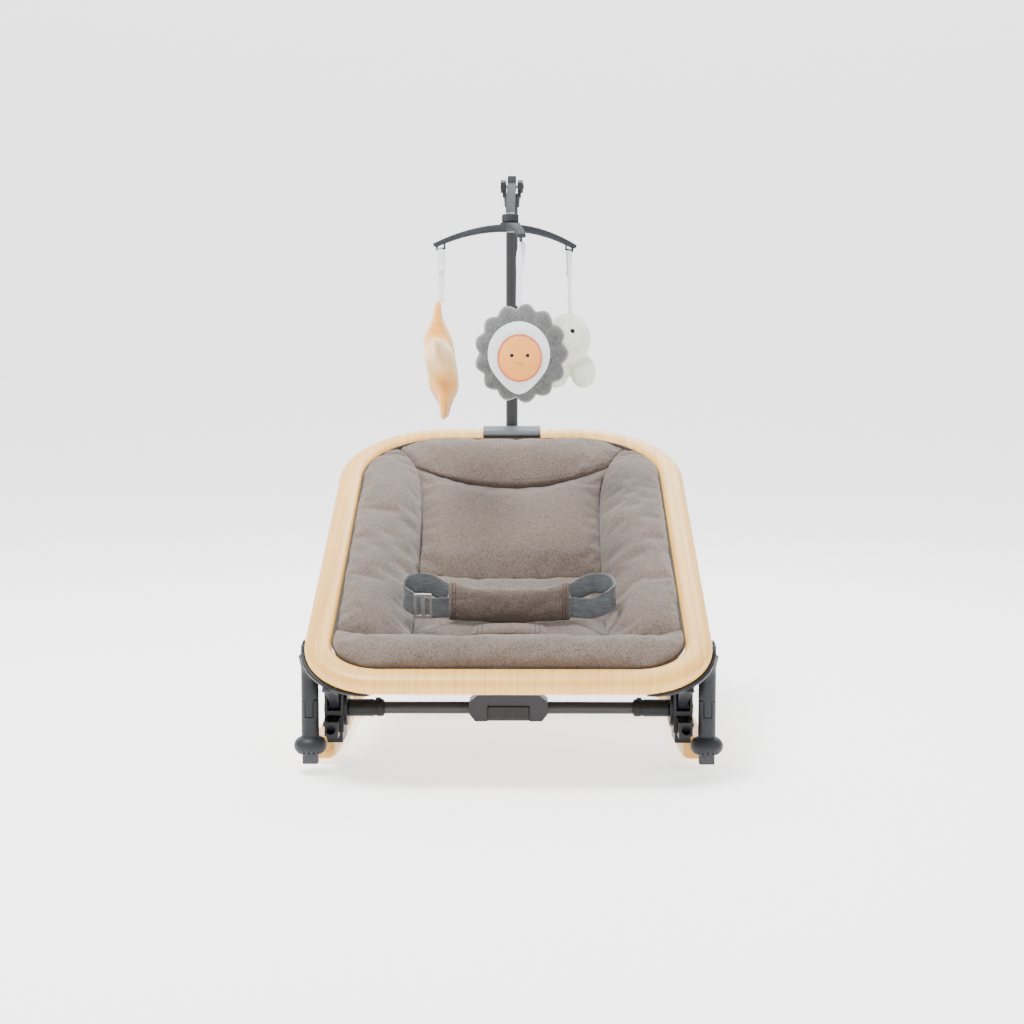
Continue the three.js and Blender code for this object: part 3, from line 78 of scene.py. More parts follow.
RING_LOW, RING_HIGH = tilted_box("seat_ring")
RING_START = -3 * MM
RING = TILT @ Matrix.Translation((0, RING_LOW.y - RING_START, RING_HIGH.z))
RING_INV = RING.inverted()
RING_HALF = RING_HIGH.x
RING_END = RING_HIGH.y - RING_LOW.y + RING_START
RING_THICK = RING_HIGH.z - RING_LOW.z
RING_BAR = 32 * MM
FRONT_RADIUS = 92 * MM
BACK_RADIUS = 150 * MM
UPRIGHT = Vector((0, math.sin(SLOPE), math.cos(SLOPE)))   # straight up, in the ring's frame


# ---------------------------------------------------------------- small helpers
def clamp(value, low=0.0, high=1.0):
    return min(max(value, low), high)


def lerp(a, b, t):
    return a + (b - a) * t


def smooth(value, low, high):
    t = clamp((value - low) / (high - low))
    return t * t * (3 - 2 * t)


def placed(name, data):
    """An object with this data, in the scene."""
    made = bpy.data.objects.new(name, data)
    bpy.context.scene.collection.objects.link(made)
    return made


def new_object(name, verts, faces, weld=0.0):
    mesh = bpy.data.meshes.new(name)
    mesh.from_pydata([tuple(v) for v in verts], [], faces)
    mesh.validate()
    return face_out(placed(name, mesh), weld)


def face_out(piece, weld=0.0):
    """Faces turned outward, after points closer than the weld distance are joined."""
    bm = bmesh.new()
    bm.from_mesh(piece.data)
    if weld:
        bmesh.ops.remove_doubles(bm, verts=bm.verts, dist=weld)
    bmesh.ops.recalc_face_normals(bm, faces=bm.faces)
    bm.to_mesh(piece.data)
    bm.free()
    return piece


def coated(piece, material):
    piece.data.materials.clear()
    piece.data.materials.append(material)
    return piece


def shade(piece, angle=35):
    """Smooth shading, with edges sharper than the angle kept crisp."""
    piece.data.shade_smooth()
    piece.data.set_sharp_from_angle(angle=math.radians(angle))
    return piece


def apply_modifiers(piece):
    """Bakes the piece's modifiers into its mesh."""
    depsgraph = bpy.context.evaluated_depsgraph_get()
    mesh = bpy.data.meshes.new_from_object(piece.evaluated_get(depsgraph))
    piece.modifiers.clear()
    old = piece.data
    piece.data = mesh
    bpy.data.meshes.remove(old)
    return piece


def relaxed(piece, factor, rounds):
    """A smoothing modifier, left to be applied."""
    relax = piece.modifiers.new("relax", "SMOOTH")
    relax.factor = factor
    relax.iterations = rounds
    return piece


def blended(piece, voxel, factor, rounds):
    """Voxel remeshing and smoothing modifiers, left to be applied."""
    remesh = piece.modifiers.new("remesh", "REMESH")
    remesh.mode = "VOXEL"
    remesh.voxel_size = voxel
    relaxed(piece, factor, rounds)
    return remesh


def copy_of(node, name):
    """A welded copy of a CAD node."""
    piece = placed(name, frame["nodes"][node].data.copy())
    weld = piece.modifiers.new("weld", "WELD")
    weld.merge_threshold = WELD
    return apply_modifiers(piece)


def subdivided(piece, levels=1):
    modifier = piece.modifiers.new("subdivide", "SUBSURF")
    modifier.levels = levels
    modifier.render_levels = levels
    return apply_modifiers(piece)


def bevelled(piece, width, segments=2, angle=30):
    modifier = piece.modifiers.new("bevel", "BEVEL")
    modifier.width = width
    modifier.segments = segments
    modifier.limit_method = "ANGLE"
    modifier.angle_limit = math.radians(angle)
    modifier.harden_normals = False
    return piece


def joined(name, pieces):
    """One object with the faces of several."""
    verts = []
    faces = []
    for piece in pieces:
        start = len(verts)
        verts += [piece.matrix_world @ v.co for v in piece.data.vertices]
        faces += [[start + i for i in p.vertices] for p in piece.data.polygons]
        bpy.data.objects.remove(piece)
    mesh = bpy.data.meshes.new(name)
    mesh.from_pydata([tuple(v) for v in verts], [], faces)
    return placed(name, mesh)


def moved(piece, matrix):
    piece.data.transform(matrix)
    if matrix.determinant() < 0:
        piece.data.flip_normals()
    return piece


def cut_by(piece, cutter):
    modifier = piece.modifiers.new("cut", "BOOLEAN")
    modifier.operation = "DIFFERENCE"
    modifier.solver = "EXACT"
    modifier.object = cutter
    apply_modifiers(piece)
    bpy.data.objects.remove(cutter)
    return piece


def stand_in(piece, nodes, material):
    """The piece takes the place and body of these CAD nodes, which are hidden, and is coated with the
    given material.
    """
    coated(piece, material)
    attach(piece, BODY_OF[nodes[0]])
    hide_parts(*nodes)
    return piece


def trim(piece, node, material):
    """An added detail that rides with a CAD node's body, coated with the given material."""
    coated(piece, material)
    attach(piece, BODY_OF[node])
    return piece


def circle(count, start=0.0):
    """(cos, sin) at even steps round a circle, from a share of a step on."""
    angles = [(i + start) / count * math.tau for i in range(count)]
    return [(math.cos(angle), math.sin(angle)) for angle in angles]


def oval(wide, high, points, power=3.0):
    """A flattened oval as [across, up] points."""
    outline = []
    for c, s in circle(points, 0.5):
        a = math.copysign(abs(c) ** (2 / power), c) * wide / 2
        b = math.copysign(abs(s) ** (2 / power), s) * high / 2
        outline.append((a, b))
    return outline


def swept(name, stations, section, closed=False):
    """A tube whose section(i) outline is set at each (at, across, up) station."""
    verts = []
    count = len(section(0))
    for i, (at, across, up) in enumerate(stations):
        verts += [at + across * a + up * b for a, b in section(i)]
    faces = []
    total = len(stations)
    for i in range(total if closed else total - 1):
        here = i * count
        there = (i + 1) % total * count
        for j in range(count):
            k = (j + 1) % count
            faces.append((here + j, there + j, there + k, here + k))
    if not closed:
        faces.append(tuple(range(count)))
        faces.append(tuple(range((total - 1) * count, total * count)))
    return new_object(name, verts, faces)


def lathed(name, profile, segments=72, matrix=None):
    """A profile of (radius, height) turned about +Z."""
    ring = circle(segments)
    verts = [Vector((radius * c, radius * s, height)) for radius, height in profile for c, s in ring]
    faces = []
    rows = len(profile)
    for r in range(rows - 1):
        low, high = r * segments, (r + 1) * segments
        for i in range(segments):
            k = (i + 1) % segments
            faces.append((low + i, low + k, high + k, high + i))
    if profile[0][0] > 0:
        faces.append(tuple(range(segments)))
    if profile[-1][0] > 0:
        faces.append(tuple((rows - 1) * segments + i for i in range(segments)))
    piece = new_object(name, verts, faces, FINE_WELD)
    return moved(piece, matrix) if matrix else piece


def smooth_path(points, steps, closed=False):
    """Points on a Catmull-Rom curve through the given ones."""
    out = []
    n = len(points)
    for i in range(n if closed else n - 1):
        near = range(i - 1, i + 3)
        a, b, c, d = [points[k % n] if closed else points[min(max(k, 0), n - 1)] for k in near]
        for j in range(steps):
            t = j / steps
            out.append(0.5 * ((2 * b) + (c - a) * t + (2 * a - 5 * b + 4 * c - d) * t * t
                              + (3 * b - a - 3 * c + d) * t ** 3))
    if not closed:
        out.append(points[-1].copy())
    return out


def stations_on(path, up, closed=False):
    """Stations along a path; the section's up stays near the given direction."""
    stations = []
    n = len(path)
    for i, at in enumerate(path):
        before = path[(i - 1) % n] if closed or i > 0 else at
        after = path[(i + 1) % n] if closed or i < n - 1 else at
        tangent = (after - before).normalized()
        across = tangent.cross(up).normalized()
        stations.append((at, across, across.cross(tangent).normalized()))
    return stations


def rope(name, path, radius, closed=False, up=UP, sides=8):
    section = [(radius * c, radius * s) for c, s in circle(sides)]
    return swept(name, stations_on(path, up, closed), lambda i: section, closed)


# ---------------------------------------------------------------- materials
def rgba(colour):
    """A colour with its alpha, or a socket as it is."""
    return colour if isinstance(colour, bpy.types.NodeSocket) else (*colour, 1)


def grey(level):
    return (level, level, level)


def shaded(colour, factor):
    return tuple(c * factor for c in colour)


def sheen(weight, roughness=0.5):
    return {"Sheen Weight": weight, "Sheen Roughness": roughness}


class Look:
    """A material under construction: a principled shader and the nodes that feed it."""

    def __init__(self, name, roughness, extra=None):
        self.material = bpy.data.materials.new(name)
        self.material.use_nodes = True
        self.tree = self.material.node_tree
        self.shader = self.tree.nodes["Principled BSDF"]
        for key, value in {"Roughness": roughness, **(extra or {})}.items():
            self.shader.inputs[key].default_value = value

    def node(self, kind, settings=None, **inputs):
        made = self.tree.nodes.new(kind)
        for key, value in (settings or {}).items():
            setattr(made, key, value)
        for key, value in inputs.items():
            self.feed(made.inputs[key], value)
        return made

    def feed(self, socket, value):
        if isinstance(value, bpy.types.NodeSocket):
            self.tree.links.new(value, socket)
        else:
            socket.default_value = value

    def place(self, scale=(1, 1, 1), tilt=0.0):
        """Object coordinates, turned about X and scaled."""
        coords = self.node("ShaderNodeTexCoord").outputs["Object"]
        turned = self.node("ShaderNodeMapping", Vector=coords, Rotation=(tilt, 0, 0))
        return self.node("ShaderNodeMapping", Vector=turned.outputs[0], Scale=scale).outputs[0]

    def noise(self, vector, scale, detail=3.0, rough=0.5):
        made = self.node("ShaderNodeTexNoise", Vector=vector, Scale=scale, Detail=detail,
                         Roughness=rough)
        return made.outputs["Fac"]

    def ramp(self, factor, stops):
        made = self.node("ShaderNodeValToRGB", Fac=factor)
        elements = made.color_ramp.elements
        while len(elements) < len(stops):
            elements.new(0.5)
        for element, (at, colour) in zip(elements, stops):
            element.position = at
            element.color = (*colour, 1)
        return made.outputs["Color"]

    def math(self, operation, *values):
        made = self.node("ShaderNodeMath", {"operation": operation})
        for socket, value in zip(made.inputs, values):
            self.feed(socket, value)
        return made.outputs[0]

    def mix(self, factor, a, b, blend="MIX"):
        made = self.node("ShaderNodeMix", {"data_type": "RGBA", "blend_type": blend})
        self.feed(made.inputs[0], factor)
        self.feed(made.inputs[6], rgba(a))
        self.feed(made.inputs[7], rgba(b))
        return made.outputs[2]

    def bump(self, height, depth, strength=1.0, below=None):
        made = self.node("ShaderNodeBump", Height=height, Distance=depth, Strength=strength)
        if below:
            self.feed(made.inputs["Normal"], below)
        return made.outputs["Normal"]

    def finish(self, colour, roughness=None, normal=None):
        self.feed(self.shader.inputs["Base Color"], rgba(colour))
        if roughness is not None:
            self.feed(self.shader.inputs["Roughness"], roughness)
        if normal is not None:
            self.feed(self.shader.inputs["Normal"], normal)
        return self.material


def wood_look(name):
    """Light beech veneer wrapped round the bars: fine straight pores running front to back."""
    look = Look(name, 0.42, {"Coat Weight": 0.15, "Coat Roughness": 0.35})
    veneer = look.node("ShaderNodeAttribute", {"attribute_name": "veneer"}).outputs["Vector"]

    def grain(across, along):
        return look.node("ShaderNodeMapping", Vector=veneer, Scale=(across, along, 1)).outputs[0]

    pores = look.noise(grain(620, 9), 1.0, 5.0, 0.6)
    streaks = look.noise(grain(210, 2.4), 1.0, 4.0, 0.55)
    figure = look.noise(grain(30, 2.6), 1.0, 3.0, 0.5)
    tone = look.ramp(streaks, [(0.30, WOOD_DARK), (0.5, WOOD_MID), (0.72, WOOD_LIGHT)])
    broad = look.ramp(figure, [(0.35, (0.93, 0.89, 0.84)), (0.65, grey(1.0))])
    colour = look.mix(1.0, tone, broad, "MULTIPLY")
    fine = look.ramp(pores, [(0.36, (0.82, 0.73, 0.62)), (0.47, grey(1.0))])
    colour = look.mix(0.7, colour, fine, "MULTIPLY")
    rough = look.math("MULTIPLY_ADD", pores, -0.12, 0.5)
    return look.finish(colour, rough, look.bump(pores, 0.0001, 0.5))


WOOD_DARK = (0.73, 0.36, 0.060)
WOOD_MID = (0.86, 0.48, 0.095)
WOOD_LIGHT = (0.92, 0.57, 0.145)


def plastic_look(name, colour, roughness, grain=0.00006, specular=0.22):
    """Moulded plastic: a fine spark-eroded grain, faint cloudiness and slightly polished patches."""
    look = Look(name, roughness, {"Specular IOR Level": specular})
    texture = look.noise(look.place(), 1500.0, 2.0)
    cloud = look.noise(look.place(), 34.0, 4.0)
    shade_of = look.ramp(cloud, [(0.35, shaded(colour, 0.9)), (0.65, shaded(colour, 1.1))])
    rough = look.math("MULTIPLY_ADD", cloud, 0.16, roughness - 0.08)
    return look.finish(shade_of, rough, look.bump(texture, grain, 0.7))


def metal_look(name, colour, roughness, metallic=1.0):
    """Plated or powder-coated metal with fine drawn lines."""
    look = Look(name, roughness, {"Metallic": metallic})
    lines = look.noise(look.place((30, 900, 900)), 1.0, 3.0)
    shade_of = look.ramp(lines, [(0.3, shaded(colour, 0.86)), (0.7, colour)])
    rough = look.math("MULTIPLY_ADD", lines, 0.14, roughness - 0.07)
    return look.finish(shade_of, rough, look.bump(lines, 0.00003, 0.5))


WEAVE_SCALE = 330.0


def fabric_look(name, dark, light, tilt=0.0, pile=0.25):
    """Heather fabric: pale and dark fibres through a fine plain weave, and slight fading by area."""
    look = Look(name, 0.92, sheen(pile))
    fibres = look.noise(look.place((640, 360, 640), tilt), 1.0, 4.0, 0.75)
    flecks = look.noise(look.place((380, 620, 380), tilt), 1.0, 2.0, 0.6)
    broad = look.noise(look.place(), 14.0, 3.0)
    middle = tuple((a + b) / 2 for a, b in zip(dark, light))
    colour = look.ramp(fibres, [(0.34, dark), (0.5, middle), (0.68, light)])
    pale = look.ramp(flecks, [(0.6, grey(1.0)), (0.74, (1.25, 1.24, 1.22))])
    colour = look.mix(0.8, colour, pale, "MULTIPLY")
    area = look.ramp(broad, [(0.35, grey(0.95)), (0.65, grey(1.03))])
    colour = look.mix(1.0, colour, area, "MULTIPLY")
    place = look.place((1, 1, 1), tilt)
    threads = [look.node("ShaderNodeTexWave", {"bands_direction": way}, Vector=place,
                         Scale=WEAVE_SCALE, Distortion=0.6).outputs["Fac"] for way in "XY"]
    weave = look.math("MULTIPLY", *threads)
    first = look.bump(weave, 0.00025, 0.5)
    return look.finish(colour, None, look.bump(fibres, 0.0004, 0.5, first))


def webbing_look():
    """Satin webbing: fine ribs across the band and a soft lengthwise sheen."""
    look = Look("satin_webbing", 0.38, {"Sheen Weight": 0.3, "Anisotropic": 0.4})
    ribs = look.node("ShaderNodeTexWave", {"bands_direction": "Z"}, Vector=look.place(), Scale=240.0)
    cloud = look.noise(look.place((90, 90, 500)), 1.0, 3.0)
    colour = look.ramp(cloud, [(0.3, (0.058, 0.063, 0.069)), (0.7, (0.105, 0.116, 0.125))])
    return look.finish(colour, None, look.bump(ribs.outputs["Fac"], 0.0003, 0.5))


def plush_look(name, dark, light, scale=420.0):
    """Short pile: tufts that catch the light over a darker base."""
    look = Look(name, 0.95, sheen(0.7, 0.45))
    tufts = look.noise(look.place((1, 1, 0.55)), scale, 4.0, 0.7)
    swirl = look.noise(look.place(), 60.0, 3.0)
    colour = look.ramp(tufts, [(0.34, dark), (0.62, light)])
    patches = look.ramp(swirl, [(0.3, (0.93, 0.92, 0.91)), (0.7, grey(1.04))])
    colour = look.mix(1.0, colour, patches, "MULTIPLY")
    return look.finish(colour, None, look.bump(tufts, 0.0012, 0.7))


def star_look():
    """Orange plush that pales to cream round the star's middle."""
    look = Look("orange_plush", 0.95, {"Sheen Weight": 0.7})
    tufts = look.noise(look.place((1, 1, 0.55)), 380.0, 4.0, 0.7)
    low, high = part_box("star_toy")
    height = look.node("ShaderNodeSeparateXYZ", Vector=look.place()).outputs["Z"]
    middle = (low.z + high.z) / 2
    off = look.math("ABSOLUTE", look.math("SUBTRACT", height, middle))
    wander = look.math("MULTIPLY", look.noise(look.place(), 45.0, 2.0), 0.03)
    band = look.math("ADD", off, wander)
    tone = look.ramp(look.math("MULTIPLY", band, 12.0),
                     [(0.25, (0.97, 0.62, 0.22)), (0.62, (0.98, 0.42, 0.05))])
    pile = look.ramp(tufts, [(0.3, (0.86, 0.82, 0.78)), (0.65, (1.06, 1.05, 1.04))])
    return look.finish(look.mix(1.0, tone, pile, "MULTIPLY"), None, look.bump(tufts, 0.0014, 0.7))


def ribbon_look():
    """Thin white satin ribbon with fine ribs."""
    look = Look("white_ribbon", 0.5, {"Sheen Weight": 0.4})
    ribs = look.noise(look.place((700, 700, 60)), 1.0, 2.0)
    colour = look.ramp(ribs, [(0.3, (0.78, 0.79, 0.87)), (0.7, (0.93, 0.93, 0.97))])
    return look.finish(colour, None, look.bump(ribs, 0.0001, 0.5))


def floor_look():
    """Matt white studio paper, lit a little from behind."""
    look = Look("studio_floor", 0.9, {"Emission Color": (1, 1, 1, 1), "Emission Strength": 1.6})
    fibre = look.noise(look.place(), 80.0, 4.0)
    colour = look.ramp(fibre, [(0.3, grey(0.90)), (0.7, grey(0.92))])
    return look.finish(colour, None, look.bump(fibre, 0.0002, 0.2))


WOOD = wood_look("beech_veneer")
SLATE = plastic_look("slate_plastic", (0.022, 0.023, 0.027), 0.48)
SLATE_LIGHT = plastic_look("light_slate_plastic", (0.070, 0.073, 0.082), 0.46)
ARM_SLATE = plastic_look("arm_plastic", (0.040, 0.042, 0.048), 0.68, 0.00006, 0.03)
BUTTON = plastic_look("button_plastic", (0.018, 0.018, 0.020), 0.42)
CHARCOAL = plastic_look("charcoal_plastic", (0.030, 0.030, 0.034), 0.44)
BLACK = plastic_look("black_plastic", (0.010, 0.010, 0.011), 0.42)
COATED = metal_look("charcoal_powder_coat", (0.028, 0.028, 0.031), 0.42, 0.3)
STEEL = metal_look("zinc_steel", (0.62, 0.63, 0.65), 0.3)
SILVER = metal_look("satin_slider", (0.52, 0.54, 0.56), 0.34, 0.8)
RUBBER = plastic_look("foot_rubber", (0.06, 0.062, 0.068), 0.7, 0.0001)
TAUPE = fabric_look("taupe_heather", (0.050, 0.036, 0.028), (0.195, 0.147, 0.117), -SLOPE)
SHELL = fabric_look("taupe_shell", (0.105, 0.078, 0.062), (0.19, 0.15, 0.125), -SLOPE, 0.1)
# painted shade: the dark cord round the pads stands in for the shaded gap where the pads meet the ring
GAP_SHADE = fabric_look("painted_gap_shade", (0.028, 0.022, 0.019), (0.05, 0.041, 0.035), -SLOPE, 0.05)
THREAD = fabric_look("seam_thread", (0.055, 0.041, 0.033), (0.095, 0.075, 0.062), -SLOPE, 0.05)
WEBBING = webbing_look()
RIBBON = ribbon_look()
GREY_PLUSH = plush_look("grey_plush", (0.058, 0.060, 0.060), (0.122, 0.125, 0.124))
WHITE_PLUSH = plush_look("white_panel", (0.66, 0.69, 0.72), (0.84, 0.86, 0.88), 700.0)
PEACH = plush_look("peach_panel", (0.86, 0.30, 0.05), (0.95, 0.40, 0.075), 800.0)
CREAM = plush_look("cream_plush", (0.66, 0.69, 0.56), (0.88, 0.90, 0.78))
STAR = star_look()
EYE = plastic_look("toy_eye", (0.012, 0.012, 0.016), 0.15, 0.00001)
STITCH_RED = plush_look("red_stitching", (0.55, 0.10, 0.05), (0.72, 0.17, 0.08), 1200.0)
STITCH_DARK = plush_look("dark_stitching", (0.06, 0.05, 0.05), (0.12, 0.10, 0.09), 1200.0)


# ---------------------------------------------------------------- wooden pieces
def ring_path(inset, steps):
    """(at, outward) round the ring in its own frame, inset from the outer edge."""
    half = RING_HALF
    corners = (
        (half - FRONT_RADIUS, RING_START + FRONT_RADIUS, FRONT_RADIUS - inset, -90),
        (half - BACK_RADIUS, RING_END - BACK_RADIUS, BACK_RADIUS - inset, 0),
        (-half + BACK_RADIUS, RING_END - BACK_RADIUS, BACK_RADIUS - inset, 90),
        (-half + FRONT_RADIUS, RING_START + FRONT_RADIUS, FRONT_RADIUS - inset, 180))
    path = []
    for x, y, radius, start in corners:
        for i in range(steps + 1):
            angle = math.radians(start + 90 * i / steps)
            out = Vector((math.cos(angle), math.sin(angle), 0))
            path.append((Vector((x, y, 0)) + out * radius, out))
    return path


def even_path(path, spacing):
    """The same closed path with extra points on its long straights."""
    out = []
    n = len(path)
    for i, (at, direction) in enumerate(path):
        next_at, next_direction = path[(i + 1) % n]
        parts = max(1, round((next_at - at).length / spacing))
        for j in range(parts):
            t = j / parts
            out.append((at.lerp(next_at, t), direction.lerp(next_direction, t).normalized()))
    return out


def wrap_distances(section):
    """How far each point of a section lies from its top, walking round it; outward is positive."""
    quarter = len(section) // 4
    distances = [0.0] * len(section)
    for step in (-1, 1):
        index = quarter - 1 if step < 0 else quarter
        total = section[index][0]
        for _ in range(len(section) // 2):
            distances[index % len(section)] = total
            a, b = section[index % len(section)]
            c, d = section[(index + step) % len(section)]
            total -= step * math.hypot(c - a, d - b)
            index += step
    return distances


def lay_veneer(piece, path, section):
    """Stores where every vertex lies on the flat sheet of veneer that is wrapped round the bar."""
    distances = wrap_distances(section)
    sheet = piece.data.attributes.new("veneer", "FLOAT_VECTOR", "POINT")
    for i, (at, out) in enumerate(path):
        for j, far in enumerate(distances):
            sheet.data[i * len(section) + j].vector = (at.x + far * out.x, at.y + far * out.y, 0)


def make_ring():
    section = [(a, b - RING_THICK / 2) for a, b in oval(RING_BAR, RING_THICK, 40, 2.8)]
    path = even_path(ring_path(RING_BAR / 2, 24), 0.012)
    ring = swept("wood_ring", [(at, out, UP) for at, out in path], lambda i: section, True)
    lay_veneer(ring, path, section)
    return stand_in(shade(moved(ring, RING), 60), ["seat_ring"], WOOD)


ROCK_RADIUS = 500 * MM
ROCK_FLAT = 45 * MM
ROCK_Y = RECORD["mounts"][0]["pos_m"][1]
RUNNER_X = abs(RECORD["mounts"][0]["pos_m"][0])
RUNNER_WIDE = 2 * (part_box("rocker_runner_right")[1].x - RUNNER_X)
RUNNER_THICK = 28 * MM
RUNNER_FRONT = -190 * MM
RUNNER_CORNER = 49 * MM
CROSSBAR_Y = 147 * MM


def on_rocker(point):
    """A flat plan point with its height above the underside, bent onto the rocking curve."""
    along = point.y - ROCK_Y
    angle = max(abs(along) - ROCK_FLAT, 0) / ROCK_RADIUS
    reach = min(abs(along), ROCK_FLAT) + (ROCK_RADIUS - point.z) * math.sin(angle)
    lift = ROCK_RADIUS - (ROCK_RADIUS - point.z) * math.cos(angle)
    return Vector((point.x, ROCK_Y + math.copysign(reach, along), lift))


def make_rocker():
    """Both runners and the rear crossbar as one bent wooden loop."""
    corner_y = CROSSBAR_Y - RUNNER_CORNER
    corner_x = RUNNER_X - RUNNER_CORNER
    half = []
    for i in range(60):
        y = lerp(RUNNER_FRONT, corner_y, i / 60)
        half.append((Vector((RUNNER_X, y, 0)), RIGHTWARD))
    for i in range(17):
        angle = i / 16 * math.pi / 2
        out = Vector((math.cos(angle), math.sin(angle), 0))
        half.append((Vector((corner_x, corner_y, 0)) + out * RUNNER_CORNER, out))
    for i in range(1, 13):
        half.append((Vector((lerp(corner_x, 0, i / 12), CROSSBAR_Y, 0)), BACKWARD))
    other = [(Vector((-at.x, at.y, 0)), Vector((-out.x, out.y, 0))) for at, out in reversed(half[:-1])]
    path = half + other
    section = [(a, b + RUNNER_THICK / 2) for a, b in oval(RUNNER_WIDE, RUNNER_THICK, 40, 4.2)]
    last = len(path) - 1

    def outline(i):
        """The ends are gently rounded off."""
        near = min(i, last - i)
        keep = 0.9 if near == 0 else 1.0
        return [(a * keep, RUNNER_THICK / 2 + (b - RUNNER_THICK / 2) * keep) for a, b in section]

    loop = swept("wood_rocker", [(at, out, UP) for at, out in path], outline)
    lay_veneer(loop, path, section)
    for vertex in loop.data.vertices:
        vertex.co = on_rocker(vertex.co)
    nodes = ["rocker_runner_left", "rocker_runner_right", "rear_crossbar"]
    return stand_in(shade(loop, 50), nodes, WOOD)


# ---------------------------------------------------------------- moulded plastic and metal
def remoulded(node, voxel, rounds, material):
    """A CAD node kept in place, with its edges blended as a moulding's are."""
    piece = frame["nodes"][node]
    blended(piece, voxel, 0.6, rounds).use_smooth_shade = True
    return coated(piece, material)


def crisp(node, width, material, segments=2):
    """A CAD node kept in place, with small bevels on its edges."""
    piece = frame["nodes"][node]
    bevelled(piece, width, segments)
    return shade(coated(piece, material), 38)


LEG_LOW, LEG_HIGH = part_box("lower_leg_right")
LEG_X = (LEG_LOW.x + LEG_HIGH.x) / 2
LEG_Y = (LEG_LOW.y + LEG_HIGH.y) / 2
LEG_RADIUS = (LEG_HIGH.x - LEG_LOW.x) / 2
KNOB_LOW, KNOB_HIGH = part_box("foot_knob_right")
TONGUE_LOW = 67.4 * MM
TONGUE_HALF = 5.1 * MM
TONGUE_DEEP = 4.8 * MM


def make_knob(word, side):
    """Squashed ball foot with a row of small drain holes round its lower rim."""
    low, high = KNOB_LOW.z, KNOB_HIGH.z
    radius = (KNOB_HIGH.x - KNOB_LOW.x) / 2
    middle = (low + high) / 2
    profile = [(0.0, low)]
    for i in range(25):
        angle = lerp(-1.05, 1.2, i / 24)
        height = middle + (high - low) / 2 * math.sin(angle) / math.sin(1.2)
        profile.append((radius * math.cos(angle) ** 0.75, height))
    neck = LEG_RADIUS + 0.4 * MM
    profile += [(neck, high), (neck, high - 4.3 * MM), (0.0, high - 4.3 * MM)]
    foot = Matrix.Translation((side * LEG_X, LEG_Y, 0))
    ball = lathed(f"foot_ball_{word}", profile, 64, foot)
    cutters = []
    for i in range(18):
        angle = (i + 0.5) / 18 * math.tau
        hole = lathed("hole", [(1.25 * MM, 0), (1.25 * MM, 8 * MM)], 12)
        out = Matrix.Translation((radius - 5.5 * MM, 0, low + 4.6 * MM))
        turn = Matrix.Rotation(angle, 4, "Z") @ out
        moved(hole, foot @ turn @ Matrix.Rotation(math.pi / 2, 4, "Y"))
        cutters.append(hole)
    cut_by(ball, joined("holes", cutters))
    stand_in(shade(ball, 40), [f"foot_knob_{word}"], SLATE)


def make_lower_leg(word, side):
    """Lower leg tube with the slot that the upper leg's tongue fills."""
    low, high = LEG_LOW.z, LEG_HIGH.z
    r = LEG_RADIUS
    profile = [(0, low), (4 * MM, low), (4 * MM, KNOB_HIGH.z - 4 * MM),
               (r - 0.5 * MM, KNOB_HIGH.z - 4 * MM),
               (r, KNOB_HIGH.z - 3.5 * MM), (r, high - 0.7 * MM), (r - 0.7 * MM, high), (0, high)]
    leg = lathed(f"leg_tube_{word}", profile, 64, Matrix.Translation((side * LEG_X, LEG_Y, 0)))
    slot_low = (side * LEG_X - TONGUE_HALF, LEG_Y - r - 1 * MM, TONGUE_LOW)
    slot_high = (side * LEG_X + TONGUE_HALF, LEG_Y - r + TONGUE_DEEP, high + 1 * MM)
    cut_by(leg, box_piece("slot", slot_low, slot_high))
    stand_in(shade(leg, 40), [f"lower_leg_{word}"], SLATE)


def box_piece(name, low, high):
    xs, ys, zs = zip(low, high)
    corners = [(x, y, z) for x in xs for y in ys for z in zs]
    faces = [(0, 1, 3, 2), (4, 6, 7, 5), (0, 4, 5, 1), (2, 3, 7, 6), (0, 2, 6, 4), (1, 5, 7, 3)]
    return new_object(name, corners, faces)


def along_x(y, z):
    """Turns +Z shapes to lie along +X on a line at y, z."""
    return Matrix.Translation((0, y, z)) @ Matrix.Rotation(math.pi / 2, 4, "Y")


def make_tube():
    low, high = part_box("cross_tube")
    radius = (high.z - low.z) / 2
    profile = [(radius - 2 * MM, low.x), (radius - 0.4 * MM, low.x), (radius, low.x + 0.5 * MM),
               (radius, high.x - 0.5 * MM), (radius - 0.4 * MM, high.x), (radius - 2 * MM, high.x)]
    tube = lathed("release_tube", profile, 48, along_x(HUB.y, HUB.z))
    stand_in(shade(tube, 40), ["cross_tube"], COATED)


def make_sleeve(word, side):
    """The sleeve at the tube's end: a stepped collar, long flats and a screw boss on top."""
    low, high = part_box("tube_sleeve_right")
    radius = HUB.z - low.z
    start, end = low.x, high.x
    profile = [(radius - 2.6 * MM, start), (radius - 1.4 * MM, start), (radius, start + 1.6 * MM),
               (radius, start + 8 * MM), (radius - 0.6 * MM, start + 8.6 * MM),
               (radius - 0.6 * MM, start + 12 * MM), (radius, start + 12.6 * MM),
               (radius, end - 0.6 * MM), (radius - 0.6 * MM, end), (radius - 2.6 * MM, end)]
    collar = lathed("collar", profile, 64, along_x(HUB.y, HUB.z))
    boss_profile = [(0, radius - 3 * MM), (3.4 * MM, radius - 3 * MM), (3.4 * MM, radius + 1.1 * MM),
                    (2.9 * MM, radius + 1.6 * MM), (1.7 * MM, radius + 1.6 * MM),
                    (1.5 * MM, radius + 0.6 * MM), (0, radius + 0.6 * MM)]
    boss = lathed("boss", boss_profile, 24, Matrix.Translation((start + 7 * MM, HUB.y, HUB.z)))
    sleeve = joined(f"sleeve_{word}", [collar, boss])
    if side < 0:
        moved(sleeve, Matrix.Scale(-1, 4, (1, 0, 0)))
    stand_in(shade(face_out(sleeve), 40), [f"tube_sleeve_{word}"], BLACK)


